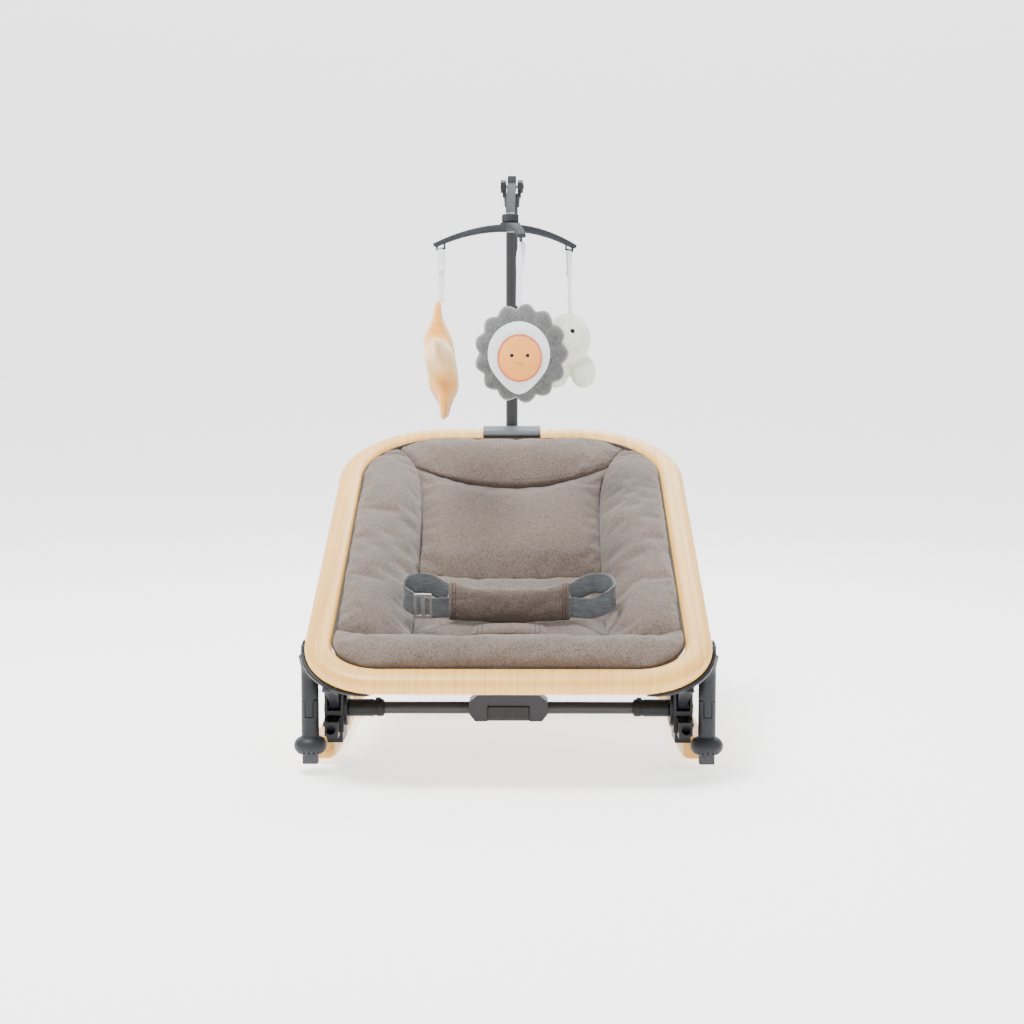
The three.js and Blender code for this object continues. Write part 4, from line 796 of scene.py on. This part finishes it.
def make_mast():
    low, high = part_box("toy_mast")
    radius = (high.x - low.x) / 2
    y = (low.y + high.y) / 2
    profile = [(0, low.z), (radius - 0.5 * MM, low.z), (radius, low.z + 0.5 * MM),
               (radius, high.z - 0.5 * MM), (radius - 0.5 * MM, high.z), (0, high.z)]
    pole = lathed("mast_tube", profile, 48, Matrix.Translation((0, y, 0)))
    stand_in(shade(pole, 40), ["toy_mast"], COATED)


def make_firm_parts():
    for word, side in SIDES:
        remoulded(f"corner_bracket_{word}", 0.9 * MM, 5, SLATE)
        make_lower_leg(word, side)
        make_knob(word, side)
        crisp(f"foot_pad_{word}", 0.8 * MM, RUBBER)
        crisp(f"hub_housing_{word}", 0.7 * MM, BLACK)
        crisp(f"hub_cover_{word}", 0.6 * MM, BLACK)
        make_sleeve(word, side)
        for node in (f"pivot_bolt_{word}", f"hub_screw_{word}", f"lock_rod_{word}"):
            crisp(node, 0.3 * MM, STEEL, 1)
    crisp("release_housing_front", 0.9 * MM, CHARCOAL)
    crisp("release_housing_rear", 0.9 * MM, CHARCOAL)
    crisp("release_button", 0.5 * MM, BUTTON)
    crisp("button_spring", 0.05 * MM, STEEL, 1)
    make_tube()
    make_mast()
    remoulded("toy_bar_clamp", 1.0 * MM, 4, SLATE_LIGHT)
    crisp("mast_fork", 0.8 * MM, SLATE)
    crisp("arm_pin", 0.4 * MM, STEEL)
    crisp("spider_pin", 0.4 * MM, STEEL)
    remoulded("toy_arm", 0.8 * MM, 4, ARM_SLATE)
    remoulded("toy_spider", 0.7 * MM, 3, ARM_SLATE)
    crisp("strap_slider", 0.5 * MM, SILVER)


# ---------------------------------------------------------------- padded seat
def pad_source(node, inset):
    """A copy of a CAD cushion, drawn in a little so that it has room to swell."""
    piece = copy_of(node, node + "_pad")
    blended(piece, PAD_VOXEL, 0.5, 3)
    apply_modifiers(piece)
    piece.data.materials.clear()
    for vertex, normal in zip(piece.data.vertices, [v.normal.copy() for v in piece.data.vertices]):
        vertex.co -= normal * inset
    return piece


PAD_VOXEL = 5 * MM


def inflate(piece, pressure, cap, downward=0.25, held=None):
    """Swells a pad by cloth pressure; no point moves further than the cap, and held ones not at all."""
    before = np.array([v.co for v in piece.data.vertices])
    down = np.array([(RING_INV.to_3x3() @ v.normal).z for v in piece.data.vertices])
    cloth = piece.modifiers.new("puff", "CLOTH")
    settings = cloth.settings
    settings.quality = 5
    settings.mass = 0.25
    settings.tension_stiffness = 12
    settings.compression_stiffness = 12
    settings.shear_stiffness = 6
    settings.bending_stiffness = 0.4
    settings.use_pressure = True
    settings.uniform_pressure_force = pressure
    settings.effector_weights.gravity = 0
    if held:
        piece.vertex_groups.new(name="held").add(held, 1.0, "REPLACE")
        settings.vertex_group_mass = "held"
        settings.shrink_min = EXTRA_CLOTH
    cloth.point_cache.frame_start = 1
    cloth.point_cache.frame_end = PUFF_FRAMES
    for step in range(1, PUFF_FRAMES + 1):
        bpy.context.scene.frame_set(step)
    depsgraph = bpy.context.evaluated_depsgraph_get()
    evaluated = piece.evaluated_get(depsgraph)
    after = np.array([v.co for v in evaluated.data.vertices])
    piece.modifiers.clear()
    bpy.context.scene.frame_set(1)
    shift = after - before
    if held:
        shift[held] = 0
        piece.vertex_groups.clear()
    length = np.linalg.norm(shift, axis=1)
    limit = np.where(down < -0.2, cap * downward, cap)
    scale = np.minimum(1.0, limit / np.maximum(length, 1e-9))
    settled = before + shift * scale[:, None]
    piece.data.vertices.foreach_set("co", settled.ravel())
    piece.data.update()
    return piece


PUFF_FRAMES = 20
PRESSURE = 4.0
EXTRA_CLOTH = -0.02                     # the cover is cut a little larger than its pad


def crumple(piece, dents, puckers, seed):
    """Soft dents over the whole pad, and finer puckers where it turns down into its seams."""
    offset = Vector((seed * 3.7, seed * 1.3, seed * 2.1))
    normals = [v.normal.copy() for v in piece.data.vertices]
    for vertex, normal in zip(piece.data.vertices, normals):
        local = RING_INV @ vertex.co
        facing = (RING_INV.to_3x3() @ normal).z
        edge = clamp(1.25 - abs(facing) * 1.25) * (1.0 if facing > -0.3 else 0.2)
        broad = noise.noise(local * 16 + offset) + 0.5 * noise.noise(local * 34 + offset)
        fine = abs(noise.noise(local * 62 + offset)) - 0.25
        vertex.co += normal * (dents * broad + puckers * edge * fine)
    return piece


def make_pad(node, cap, dents, puckers, inset, seed):
    """A loose pad that swells freely round its CAD shape."""
    piece = pad_source(node, inset)
    inflate(piece, PRESSURE, cap)
    apply_modifiers(relaxed(piece, 0.5, 2))
    subdivided(piece, 1)
    crumple(piece, dents, puckers, seed)
    shade(piece, 180)
    stand_in(piece, [node], TAUPE)
    return piece


INNER_HALF = RING_HALF - RING_BAR - 0.8 * MM
INNER_START = RING_START + RING_BAR + 0.8 * MM
INNER_END = RING_END - RING_BAR - 0.8 * MM
INNER_FRONT_RADIUS = FRONT_RADIUS - RING_BAR
INNER_BACK_RADIUS = BACK_RADIUS - RING_BAR
CREASE_Y = 322 * MM
FRONT_PAD_Y = 112 * MM
HEAD_Y = 512 * MM
PANEL_HALF = 119 * MM
HEAD_CORNER = 138 * MM                  # where the head seam meets the bolsters, from the middle line
HEAD_TOP_CORNER = 162 * MM              # where the bolsters end against the ring
BOLSTER_END = 602 * MM
SEAM_LIFT = 8 * MM                      # the seams above the sling
PAD_LIFT = 4.5 * MM                     # the pads' underside above the sling


def curve_through(pairs):
    """A smooth curve through (place, value) pairs in millimetres, read in metres."""
    path = smooth_path([Vector((a, b, 0)) for a, b in pairs], 8)
    places = [p.x * MM for p in path]
    values = [p.y * MM for p in path]
    return lambda place: float(np.interp(place, places, values))


hammock_depth = curve_through((
    (20, 12), (60, 24), (110, 52), (170, 70), (240, 76),
    (310, 70), (400, 52), (500, 34), (580, 22), (640, 14)))
panel_half = curve_through((
    (90, 119), (330, 119), (440, 120), (500, 124), (545, 133), (585, 152), (620, 175)))


def opening_half(y):
    """Half the width of the opening inside the ring."""
    into_front = clamp(INNER_START + INNER_FRONT_RADIUS - y, 0, INNER_FRONT_RADIUS)
    into_back = clamp(y - INNER_END + INNER_BACK_RADIUS, 0, INNER_BACK_RADIUS)
    front = INNER_FRONT_RADIUS - math.sqrt(INNER_FRONT_RADIUS ** 2 - into_front ** 2)
    back = INNER_BACK_RADIUS - math.sqrt(INNER_BACK_RADIUS ** 2 - into_back ** 2)
    return INNER_HALF - front - back


def hammock(x, y):
    rim = 13 * MM
    return -rim - (hammock_depth(y) - rim) * (1 - clamp(abs(x) / INNER_HALF) ** 3.2)


def head_seam(x):
    return HEAD_Y + 34 * MM * clamp(abs(x) / PANEL_HALF, 0, 1.4) ** 2


def seam_height(x, y):
    return hammock(x, y) + SEAM_LIFT


GATHER_DEPTH = 1.7 * MM
GATHER_REACH = 0.016
GATHER_START = 0.002


def puckered(along, near, seed):
    """Small gathers that run in from a seam and die away into the pad."""
    fade = math.exp(-near / GATHER_REACH) * (1 - math.exp(-near / GATHER_START))
    coarse = noise.noise(Vector((along * 95, near * 10, seed)))
    fine = noise.noise(Vector((along * 210, near * 20, seed)))
    fold = coarse + 0.5 * fine
    return GATHER_DEPTH * fade * fold


CROWN_POWER = 0.42
QUILT_CAP = 5 * MM


def quilted(node, columns, rows, place, base, height, seed):
    """A pad over a grid in the ring's frame, whose borders lie exactly on its seams."""
    def spaced(i, count):
        even = i / count
        return lerp(even, 0.5 - 0.5 * math.cos(math.pi * even), 0.5)

    verts = []
    held = []
    for layer in range(2):
        for j in range(rows + 1):
            for i in range(columns + 1):
                u, v = spaced(i, columns), spaced(j, rows)
                x, y = place(u, v)
                border = i in (0, columns) or j in (0, rows)
                z = hammock(x, y) + PAD_LIFT
                if layer:
                    bulge = math.sin(math.pi * u) * math.sin(math.pi * v)
                    crown = 0.0 if border else bulge ** CROWN_POWER
                    wide = (Vector(place(1, v)) - Vector(place(0, v))).length
                    long = (Vector(place(u, 1)) - Vector(place(u, 0))).length
                    gathers = (puckered(y, min(u, 1 - u) * wide, seed)
                               + puckered(x, min(v, 1 - v) * long, seed + 9))
                    z = base(x, y, u, v) + height(u, v) * crown + (0 if border else gathers)
                if border or not layer:
                    held.append(len(verts))
                verts.append(RING @ Vector((x, y, z)))
    row = columns + 1
    top = row * (rows + 1)
    faces = []
    for j in range(rows):
        for i in range(columns):
            c = j * row + i
            faces.append((c, c + row, c + row + 1, c + 1))
            faces.append((top + c, top + c + 1, top + c + row + 1, top + c + row))
    for j in range(rows):
        for c in (j * row, j * row + columns):
            faces.append((c, c + row, top + c + row, top + c))
    for i in range(columns):
        for c in (i, rows * row + i):
            faces.append((c, c + 1, top + c + 1, top + c))
    piece = new_object(node + "_pad", verts, faces)
    inflate(piece, PRESSURE, QUILT_CAP, held=held)
    subdivided(piece, 1)
    crumple(piece, 0.0007, 0.0008, seed)
    stand_in(shade(piece, 180), [node], TAUPE)
    return piece


def flat_base(x, y, _u, _v):
    return seam_height(x, y)


def make_back_panel():
    def place(u, v):
        y = lerp(CREASE_Y, head_seam(lerp(-1, 1, u) * panel_half(HEAD_Y)), v)
        x = lerp(-1, 1, u) * lerp(panel_half(y), HEAD_CORNER, smooth(v, 0.86, 1.0))
        return x, lerp(CREASE_Y, head_seam(x), v)
    return quilted("back_cushion", 44, 40, place, flat_base, lambda u, v: 19 * MM, 1)


def make_seat_panel():
    def place(u, v):
        return lerp(-PANEL_HALF, PANEL_HALF, u), lerp(FRONT_PAD_Y, CREASE_Y, v)
    return quilted("seat_cushion", 44, 40, place, flat_base, lambda u, v: 21 * MM, 2)


def make_head_panel():
    """Fills the rounded end of the ring, from the dipping seam up and across between the bolsters."""
    def place(u, v):
        t = lerp(-1, 1, u)
        near = t * HEAD_CORNER
        far = t * HEAD_TOP_CORNER
        into = max(abs(far) - (INNER_HALF - INNER_BACK_RADIUS), 0)
        top = INNER_END - INNER_BACK_RADIUS + math.sqrt(INNER_BACK_RADIUS ** 2 - into ** 2)
        return lerp(near, far, v), lerp(head_seam(near), top, v)
    return quilted("head_cushion", 56, 24, place, flat_base, lambda u, v: 22 * MM, 3)


def make_side_bolster(word, side, seed):
    def place(u, v):
        y = lerp(FRONT_PAD_Y, BOLSTER_END, v)
        inner = panel_half(y)
        return side * lerp(inner, max(opening_half(y), inner + 1 * MM), u), y

    def base(x, y, u, v):
        inner = panel_half(y)
        ramp = lerp(seam_height(inner, y), seam_height(max(opening_half(y), inner), y), u)
        return lerp(seam_height(x, y), ramp, smooth(v, 0.0, 0.12))

    def height(_u, v):
        return lerp(28, 20, v) * MM

    return quilted(f"side_bolster_{word}", 20, 72, place, base, height, seed)


def make_front_bolster():
    def place(u, v):
        y = lerp(INNER_START, FRONT_PAD_Y, v)
        return lerp(-1, 1, u) * opening_half(y), y

    def height(u, _v):
        return lerp(34, 44, abs(2 * u - 1) ** 1.5) * MM

    return quilted("front_bolster", 72, 20, place, flat_base, height, 6)


def make_pads():
    make_back_panel()
    make_seat_panel()
    head = make_head_panel()
    for seed, (word, side) in zip((4, 5), SIDES):
        make_side_bolster(word, side, seed)
    make_front_bolster()
    waist = make_pad("waist_pad", 3 * MM, 0.0005, 0.0012, 1 * MM, 7)
    crotch = make_pad("crotch_pad", 3 * MM, 0.0006, 0.0012, 0.8 * MM, 8)
    stitch_head(head)
    stitch_waist(waist)
    stitch_crotch(crotch)


# ---------------------------------------------------------------- sewn lines
def laid_on(piece, points, direction):
    """Where lines from the points in a direction first meet the piece."""
    mesh = piece.data
    faces = [tuple(p.vertices) for p in mesh.polygons]
    tree = BVHTree.FromPolygons([v.co for v in mesh.vertices], faces)
    hits = [tree.ray_cast(point, direction)[0] for point in points]
    return [hit for hit in hits if hit is not None]


def sewn_line(name, path, node, up):
    """A line of thread lying half sunk in a surface."""
    return trim(shade(rope(name, path, 0.6 * MM, False, up, 6), 60), node, THREAD)


def stitch_head(head):
    """Visible stitches above the right half of the head seam."""
    down = RING.to_3x3() @ Vector((0, 0, -1))
    threads = []
    pitch = 6.5 * MM
    count = int((HEAD_CORNER - 8 * MM) / pitch)
    for i in range(count):
        ends = []
        for x in (i * pitch + 2 * MM, i * pitch + 6 * MM):
            ends.append(RING @ Vector((x, head_seam(x) + 4 * MM, 60 * MM)))
        path = laid_on(head, ends, down)
        if len(path) == 2:
            threads.append(rope("stitch", path, 0.5 * MM, False, RIGHTWARD, 6))
    trim(shade(joined("head_stitches", threads), 60), "head_cushion", THREAD)


def stitch_waist(waist):
    """A pair of sewn lines down the front of the waist pad near each end."""
    low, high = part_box("waist_pad")
    half = high.x
    for word, side in SIDES:
        for line, inset in (("outer", 9 * MM), ("inner", 12.5 * MM)):
            heights = [lerp(low.z + 3 * MM, high.z - 3 * MM, i / 24) for i in range(25)]
            starts = [Vector((side * (half - inset), low.y - 40 * MM, z)) for z in heights]
            path = laid_on(waist, starts, BACKWARD)
            sewn_line(f"waist_seam_{line}_{word}", path, "waist_pad", BACKWARD)


def stitch_crotch(crotch):
    """A pair of sewn lines up each side of the crotch pad."""
    down = RING.to_3x3() @ Vector((0, 0, -1))
    low, high = FRONT_PAD_Y + 17 * MM, FRONT_PAD_Y + 50 * MM
    for word, side in SIDES:
        for line, x in (("outer", 37 * MM), ("inner", 32 * MM)):
            starts = [RING @ Vector((side * x, lerp(low, high, i / 16), 80 * MM)) for i in range(17)]
            path = laid_on(crotch, starts, down)
            sewn_line(f"crotch_seam_{line}_{word}", path, "crotch_pad", RIGHTWARD)


def make_sling():
    """The fabric and foam tray under the pads."""
    piece = subdivided(copy_of("seat_sling", "sling_tray"), 2)
    stand_in(shade(piece, 60), ["seat_sling"], SHELL)


def make_shaded_gap_cord():
    """A cord along the gap between the fabric and the wood: it closes the see-through gap, and its dark
    colour is painted shade for that gap.
    """
    path = even_path(ring_path(RING_BAR + 1.9 * MM, 20), 0.02)
    points = [at + Vector((0, 0, -5 * MM)) for at, _ in path]
    cord = rope("shaded_gap_cord", points, 2.2 * MM, True)
    trim(shade(moved(cord, RING), 60), "seat_sling", GAP_SHADE)


# ---------------------------------------------------------------- harness
STRAP_WIDE = 25 * MM
STRAP_THICK = 1.5 * MM
STRAP_LIFT = -21.5 * MM                 # the start of the route's middle line above the ring
STRAP_ROUTE = (
    (72, 190, 0), (80, 190, 0), (102, 179, 6), (120, 182, 13), (129, 196, 17), (122, 214, 18),
    (106, 220, 17), (91, 215, 15), (75, 203, 11))


def make_strap(word, side):
    """A loop of webbing that leaves the waist pad's end and returns behind it."""
    points = [Vector((side * x * MM, y * MM, STRAP_LIFT + rise * MM)) for x, y, rise in STRAP_ROUTE]
    path = smooth_path(points, 10)
    outline = [(a * STRAP_THICK, b * STRAP_WIDE) for a, b in oval(1, 1, 20, 9)]
    strap = swept(f"webbing_{word}", stations_on(path, UPRIGHT), lambda i: outline)
    stand_in(shade(moved(strap, RING), 40), [f"harness_strap_{word}"], WEBBING)
    edges = []
    for end in (-1, 1):
        shifted = [p + UPRIGHT * end * (STRAP_WIDE / 2 - 2.2 * MM) for p in path]
        edges.append(rope("edge", shifted, 1.0 * MM, False, UPRIGHT, 6))
    binding = moved(joined(f"webbing_edges_{word}", edges), RING)
    trim(shade(binding, 60), f"harness_strap_{word}", STITCH_DARK)


# ---------------------------------------------------------------- toys
def hang_point(which):
    return Vector(JOINTS[f"{which}_toy_swing"]["pos_m"])


RIBBON_WIDE = 8.6 * MM
FRONT_RIBBON_TWIST = 1.3               # the front ribbon turns to lie flat against its toy


def make_ribbon(which, toy):
    """A ribbon doubled over its bar: a short tail outside and the long end down to the toy."""
    bar = hang_point(which)
    out = Vector(JOINTS[f"{which}_toy_swing"]["axis"])
    side = Vector((-out.y, out.x, 0))
    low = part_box(toy)[1].z
    drop = bar.z - low
    strips = []
    for length, lean, start in ((drop + 3 * MM, -1, 0.9 * MM), (0.42 * drop, 1, -0.9 * MM)):
        verts = []
        faces = []
        rows = 24
        for i in range(rows + 1):
            t = i / rows
            z = bar.z + 2.2 * MM - t * (length + 2.2 * MM)
            arch = 2.0 * MM * lean * min(1, 5 * t) + 0.8 * MM * math.sin(5 * t + lean)
            twist = 0.35 * math.sin(3.1 * t) * (1 - 0.4 * t)
            if which == "front":
                twist = FRONT_RIBBON_TWIST * smooth(t, 0.02, 0.4)
            wide = RIBBON_WIDE / 2 * (1 - 0.22 * smooth(t, 0.6, 1.0) * (lean < 0))
            for w in (-1, 1):
                across = out * (w * wide * math.cos(twist)) + side * (w * wide * math.sin(twist))
                lean_out = side * (arch + start * (1 - min(1, 8 * t)))
                verts.append(Vector((bar.x, bar.y, z)) + across + lean_out)
        for i in range(rows):
            faces.append((2 * i, 2 * i + 1, 2 * i + 3, 2 * i + 2))
        strips.append(new_object("strip", verts, faces))
    ribbon = joined(f"satin_ribbon_{which}", strips)
    solid = ribbon.modifiers.new("solid", "SOLIDIFY")
    solid.thickness = 0.35 * MM
    apply_modifiers(ribbon)
    stand_in(shade(ribbon, 60), [f"ribbon_{which}"], RIBBON)


def domed(name, outline, thick, rings, fullness):
    """A stuffed shape facing -Y over a closed [x, z] outline; its faces dome up from the seam."""
    count = len(outline)
    verts = []
    faces = []
    for face in (-1, 1):
        for r in range(rings):
            t = r / rings
            lift = (1 - (1 - t) ** 2.2) ** fullness * thick / 2
            for a, b in outline:
                verts.append(Vector((a * (1 - t), face * max(lift, 0.0), b * (1 - t))))
        verts.append(Vector((0, face * thick / 2, 0)))
    layer = rings * count + 1
    for f in range(2):
        base = f * layer
        for r in range(rings - 1):
            for i in range(count):
                k = (i + 1) % count
                a, b = base + r * count + i, base + r * count + k
                faces.append((a, b, b + count, a + count))
        last = base + (rings - 1) * count
        for i in range(count):
            faces.append((last + i, last + (i + 1) % count, base + layer - 1))
    return new_object(name, verts, faces, WELD)


def fuzzed(piece, amount, scale, seed):
    """Short pile and soft lumps in the surface itself."""
    offset = Vector((seed, seed * 2.3, seed * 0.7))
    normals = [v.normal.copy() for v in piece.data.vertices]
    for vertex, normal in zip(piece.data.vertices, normals):
        pile = noise.noise(vertex.co * scale + offset)
        lump = noise.noise(vertex.co * 45 + offset)
        vertex.co += normal * amount * (pile + 1.6 * lump)
    return piece


def flower_outline(wide, high, petals, depth):
    outline = []
    steps = petals * 12
    for i in range(steps):
        angle = i / steps * math.tau
        wave = 1 - depth + depth * abs(math.cos(petals * angle / 2)) ** 1.1
        outline.append((wide / 2 * wave * math.cos(angle), high / 2 * wave * math.sin(angle)))
    return outline


def panel(name, outline, thick, front, material, node, place):
    piece = domed(name, outline, thick, 10, 0.5)
    moved(piece, Matrix.Translation(place + Vector((0, -front, 0))))
    return trim(shade(piece, 60), node, material)


def make_flower():
    low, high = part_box("flower_toy")
    centre = (low + high) / 2
    size = high - low
    body = domed("flower_plush_body", flower_outline(size.x, size.z, 13, 0.11), size.y * 0.86, 22, 0.55)
    fuzzed(body, 0.35 * MM, 420, 2)
    moved(body, Matrix.Translation(centre))
    stand_in(shade(body, 70), ["flower_toy"], GREY_PLUSH)
    surface = size.y * 0.40
    hood = []
    for c, s in circle(72):
        point = 1 + 0.24 * max(0.0, -s) ** 6
        hood.append((0.0385 * c, 0.0400 * s * point))
    place = centre + Vector((-3 * MM, 0, -1 * MM))
    panel("flower_hood_panel", hood, 9 * MM, surface - 2.2 * MM, WHITE_PLUSH, "flower_toy", place)
    place = place + Vector((1 * MM, 0, -5 * MM))
    face = [(0.0268 * c, 0.0285 * s) for c, s in circle(64)]
    front = surface + 1.9 * MM
    panel("flower_face_panel", face, 9 * MM, front, PEACH, "flower_toy", place)
    rim_path = [place + Vector((a, -front - 0.5 * MM, b)) for a, b in face]
    rim = rope("flower_face_ring", rim_path, 1.1 * MM, True, BACKWARD)
    trim(shade(rim, 60), "flower_toy", STITCH_RED)
    make_face(place + Vector((0, -front - 4.3 * MM, 0)))


EYE_PROFILE = [(0, 0.9 * MM), (1.6 * MM, 0.75 * MM), (2.6 * MM, 0.2 * MM), (2.8 * MM, -0.6 * MM)]
SMILE_RADIUS = 8.5 * MM


def make_face(at):
    """A plain smiling face: two round eyes and a curved mouth."""
    eyes = []
    for side in (-1, 1):
        eye = lathed("eye", EYE_PROFILE, 24)
        place = Matrix.Translation(at + Vector((side * 9.5 * MM, 0.4 * MM, 3 * MM)))
        eyes.append(moved(eye, place @ Matrix.Rotation(math.pi / 2, 4, "X")))
    trim(shade(joined("flower_eyes", eyes), 50), "flower_toy", EYE)
    smile = []
    for i in range(13):
        angle = lerp(-2.3, -0.84, i / 12)
        across, rise = SMILE_RADIUS * math.cos(angle), SMILE_RADIUS * math.sin(angle)
        smile.append(at + Vector((across, 0.25 * MM, rise + 1 * MM)))
    mouth = rope("flower_smile", smile, 0.5 * MM, False, BACKWARD)
    trim(shade(mouth, 60), "flower_toy", STITCH_DARK)


STAR_TURN = 1.58                        # nearly a quarter turn, so the star hangs edge-on


def make_star():
    """A star seen almost edge-on; its points thin out towards their tips."""
    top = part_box("star_toy")[1].z
    centre = hang_point("left")
    outer = 86 * MM
    inner = 42 * MM
    outline = []
    for i in range(160):
        angle = i / 160 * math.tau
        point = ((1 + math.cos(5 * angle)) / 2) ** 1.4
        radius = lerp(inner, outer, point)
        outline.append((radius * math.sin(angle), radius * math.cos(angle)))
    body = domed("star_plush_body", outline, 40 * MM, 22, 0.4)
    for vertex in body.data.vertices:
        far = math.hypot(vertex.co.x, vertex.co.z) / outer
        vertex.co.y *= lerp(1.0, 0.42, smooth(far, 0.35, 0.8))
        vertex.co.y += 5 * MM * math.sin(2.4 * vertex.co.z / outer)
    fuzzed(body, 0.5 * MM, 380, 5)
    turn = Matrix.Rotation(STAR_TURN, 4, "Z")
    moved(body, Matrix.Translation((centre.x, centre.y, top - outer)) @ turn)
    stand_in(shade(body, 70), ["star_toy"], STAR)


def ball(name, size, centre, segments=40, rings=26):
    profile = []
    for i in range(rings + 1):
        angle = lerp(-math.pi / 2, math.pi / 2, i / rings)
        profile.append((max(math.cos(angle), 0.0), math.sin(angle)))
    return lathed(name, profile, segments, Matrix.Translation(centre) @ Matrix.Diagonal((*size, 1)))


def make_round_toy():
    """A small cream creature: a tall head, two hanging lobes and a dark eye."""
    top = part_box("round_toy")[1].z
    at = hang_point("right")
    head = ball("head", (30 * MM, 25.5 * MM, 34.8 * MM), (at.x, at.y, top - 34.8 * MM))
    lobe = (17.5 * MM, 14 * MM, 22 * MM)
    lobes = [ball("lobe", lobe, (at.x + x * MM, at.y, top - 78 * MM)) for x in (-17, 19)]
    body = joined("cream_plush_body", [head, *lobes])
    blended(body, 1.8 * MM, 0.6, 8)
    apply_modifiers(body)
    fuzzed(body, 0.35 * MM, 420, 7)
    stand_in(shade(body, 180), ["round_toy"], CREAM)
    eye_at = (at.x + 4 * MM, at.y - 23.6 * MM, top - 25 * MM)
    eye = ball("cream_toy_eye", (3.2 * MM, 1.4 * MM, 3.2 * MM), eye_at, 24, 12)
    trim(shade(eye, 60), "round_toy", EYE)


# ---------------------------------------------------------------- studio
CAMERA_AT = Vector((0.0188, -2.180, 0.463))
CAMERA_DOWN = math.radians(4.56)
CAMERA_TURN = math.radians(0.43)
FOCAL_MM = 59.1


def make_camera():
    data = bpy.data.cameras.new("camera")
    data.lens = FOCAL_MM
    data.sensor_width = 36
    data.dof.use_dof = False
    camera = placed("camera", data)
    camera.location = CAMERA_AT
    camera.rotation_euler = (math.pi / 2 - CAMERA_DOWN, 0, CAMERA_TURN)
    bpy.context.scene.camera = camera


def area_light(name, at, target, size, power):
    data = bpy.data.lights.new(name, "AREA")
    data.shape = "DISK"
    data.size = size
    data.energy = power
    light = placed(name, data)
    light.location = at
    light.rotation_euler = (Vector(target) - Vector(at)).to_track_quat("-Z", "Y").to_euler()


def make_studio():
    world = bpy.data.worlds.new("studio")
    bpy.context.scene.world = world
    world.use_nodes = True
    background = world.node_tree.nodes["Background"]
    background.inputs["Color"].default_value = (1.0, 1.0, 1.0, 1)
    background.inputs["Strength"].default_value = 0.7
    area_light("key", (-0.7, -0.5, 2.7), (0, 0, 0.2), 1.1, 150)
    area_light("fill", (1.6, -1.4, 1.4), (0, 0, 0.3), 1.6, 18)
    area_light("rim", (0.3, 1.8, 2.0), (0, 0, 0.4), 1.4, 40)
    profile = [(-8.0, 0.0), (4.0, 0.0)]
    for i in range(1, 17):
        angle = i / 16 * math.pi / 2
        profile.append((4.0 + 3.0 * math.sin(angle), 3.0 - 3.0 * math.cos(angle)))
    profile.append((7.0, 12.0))
    verts = [(x, y, z) for y, z in profile for x in (-14, 14)]
    faces = [(2 * i, 2 * i + 1, 2 * i + 3, 2 * i + 2) for i in range(len(profile) - 1)]
    floor = new_object("studio_floor", verts, faces)
    floor.data.shade_smooth()
    floor.data.materials.append(floor_look())


# ---------------------------------------------------------------- build
make_camera()
make_studio()
make_ring()
make_rocker()
make_firm_parts()
make_sling()
make_pads()
make_shaded_gap_cord()
for side_word, side_sign in SIDES:
    make_strap(side_word, side_sign)
for which_toy, toy_node in (("front", "flower_toy"), ("right", "round_toy"), ("left", "star_toy")):
    make_ribbon(which_toy, toy_node)
make_flower()
make_star()
make_round_toy()
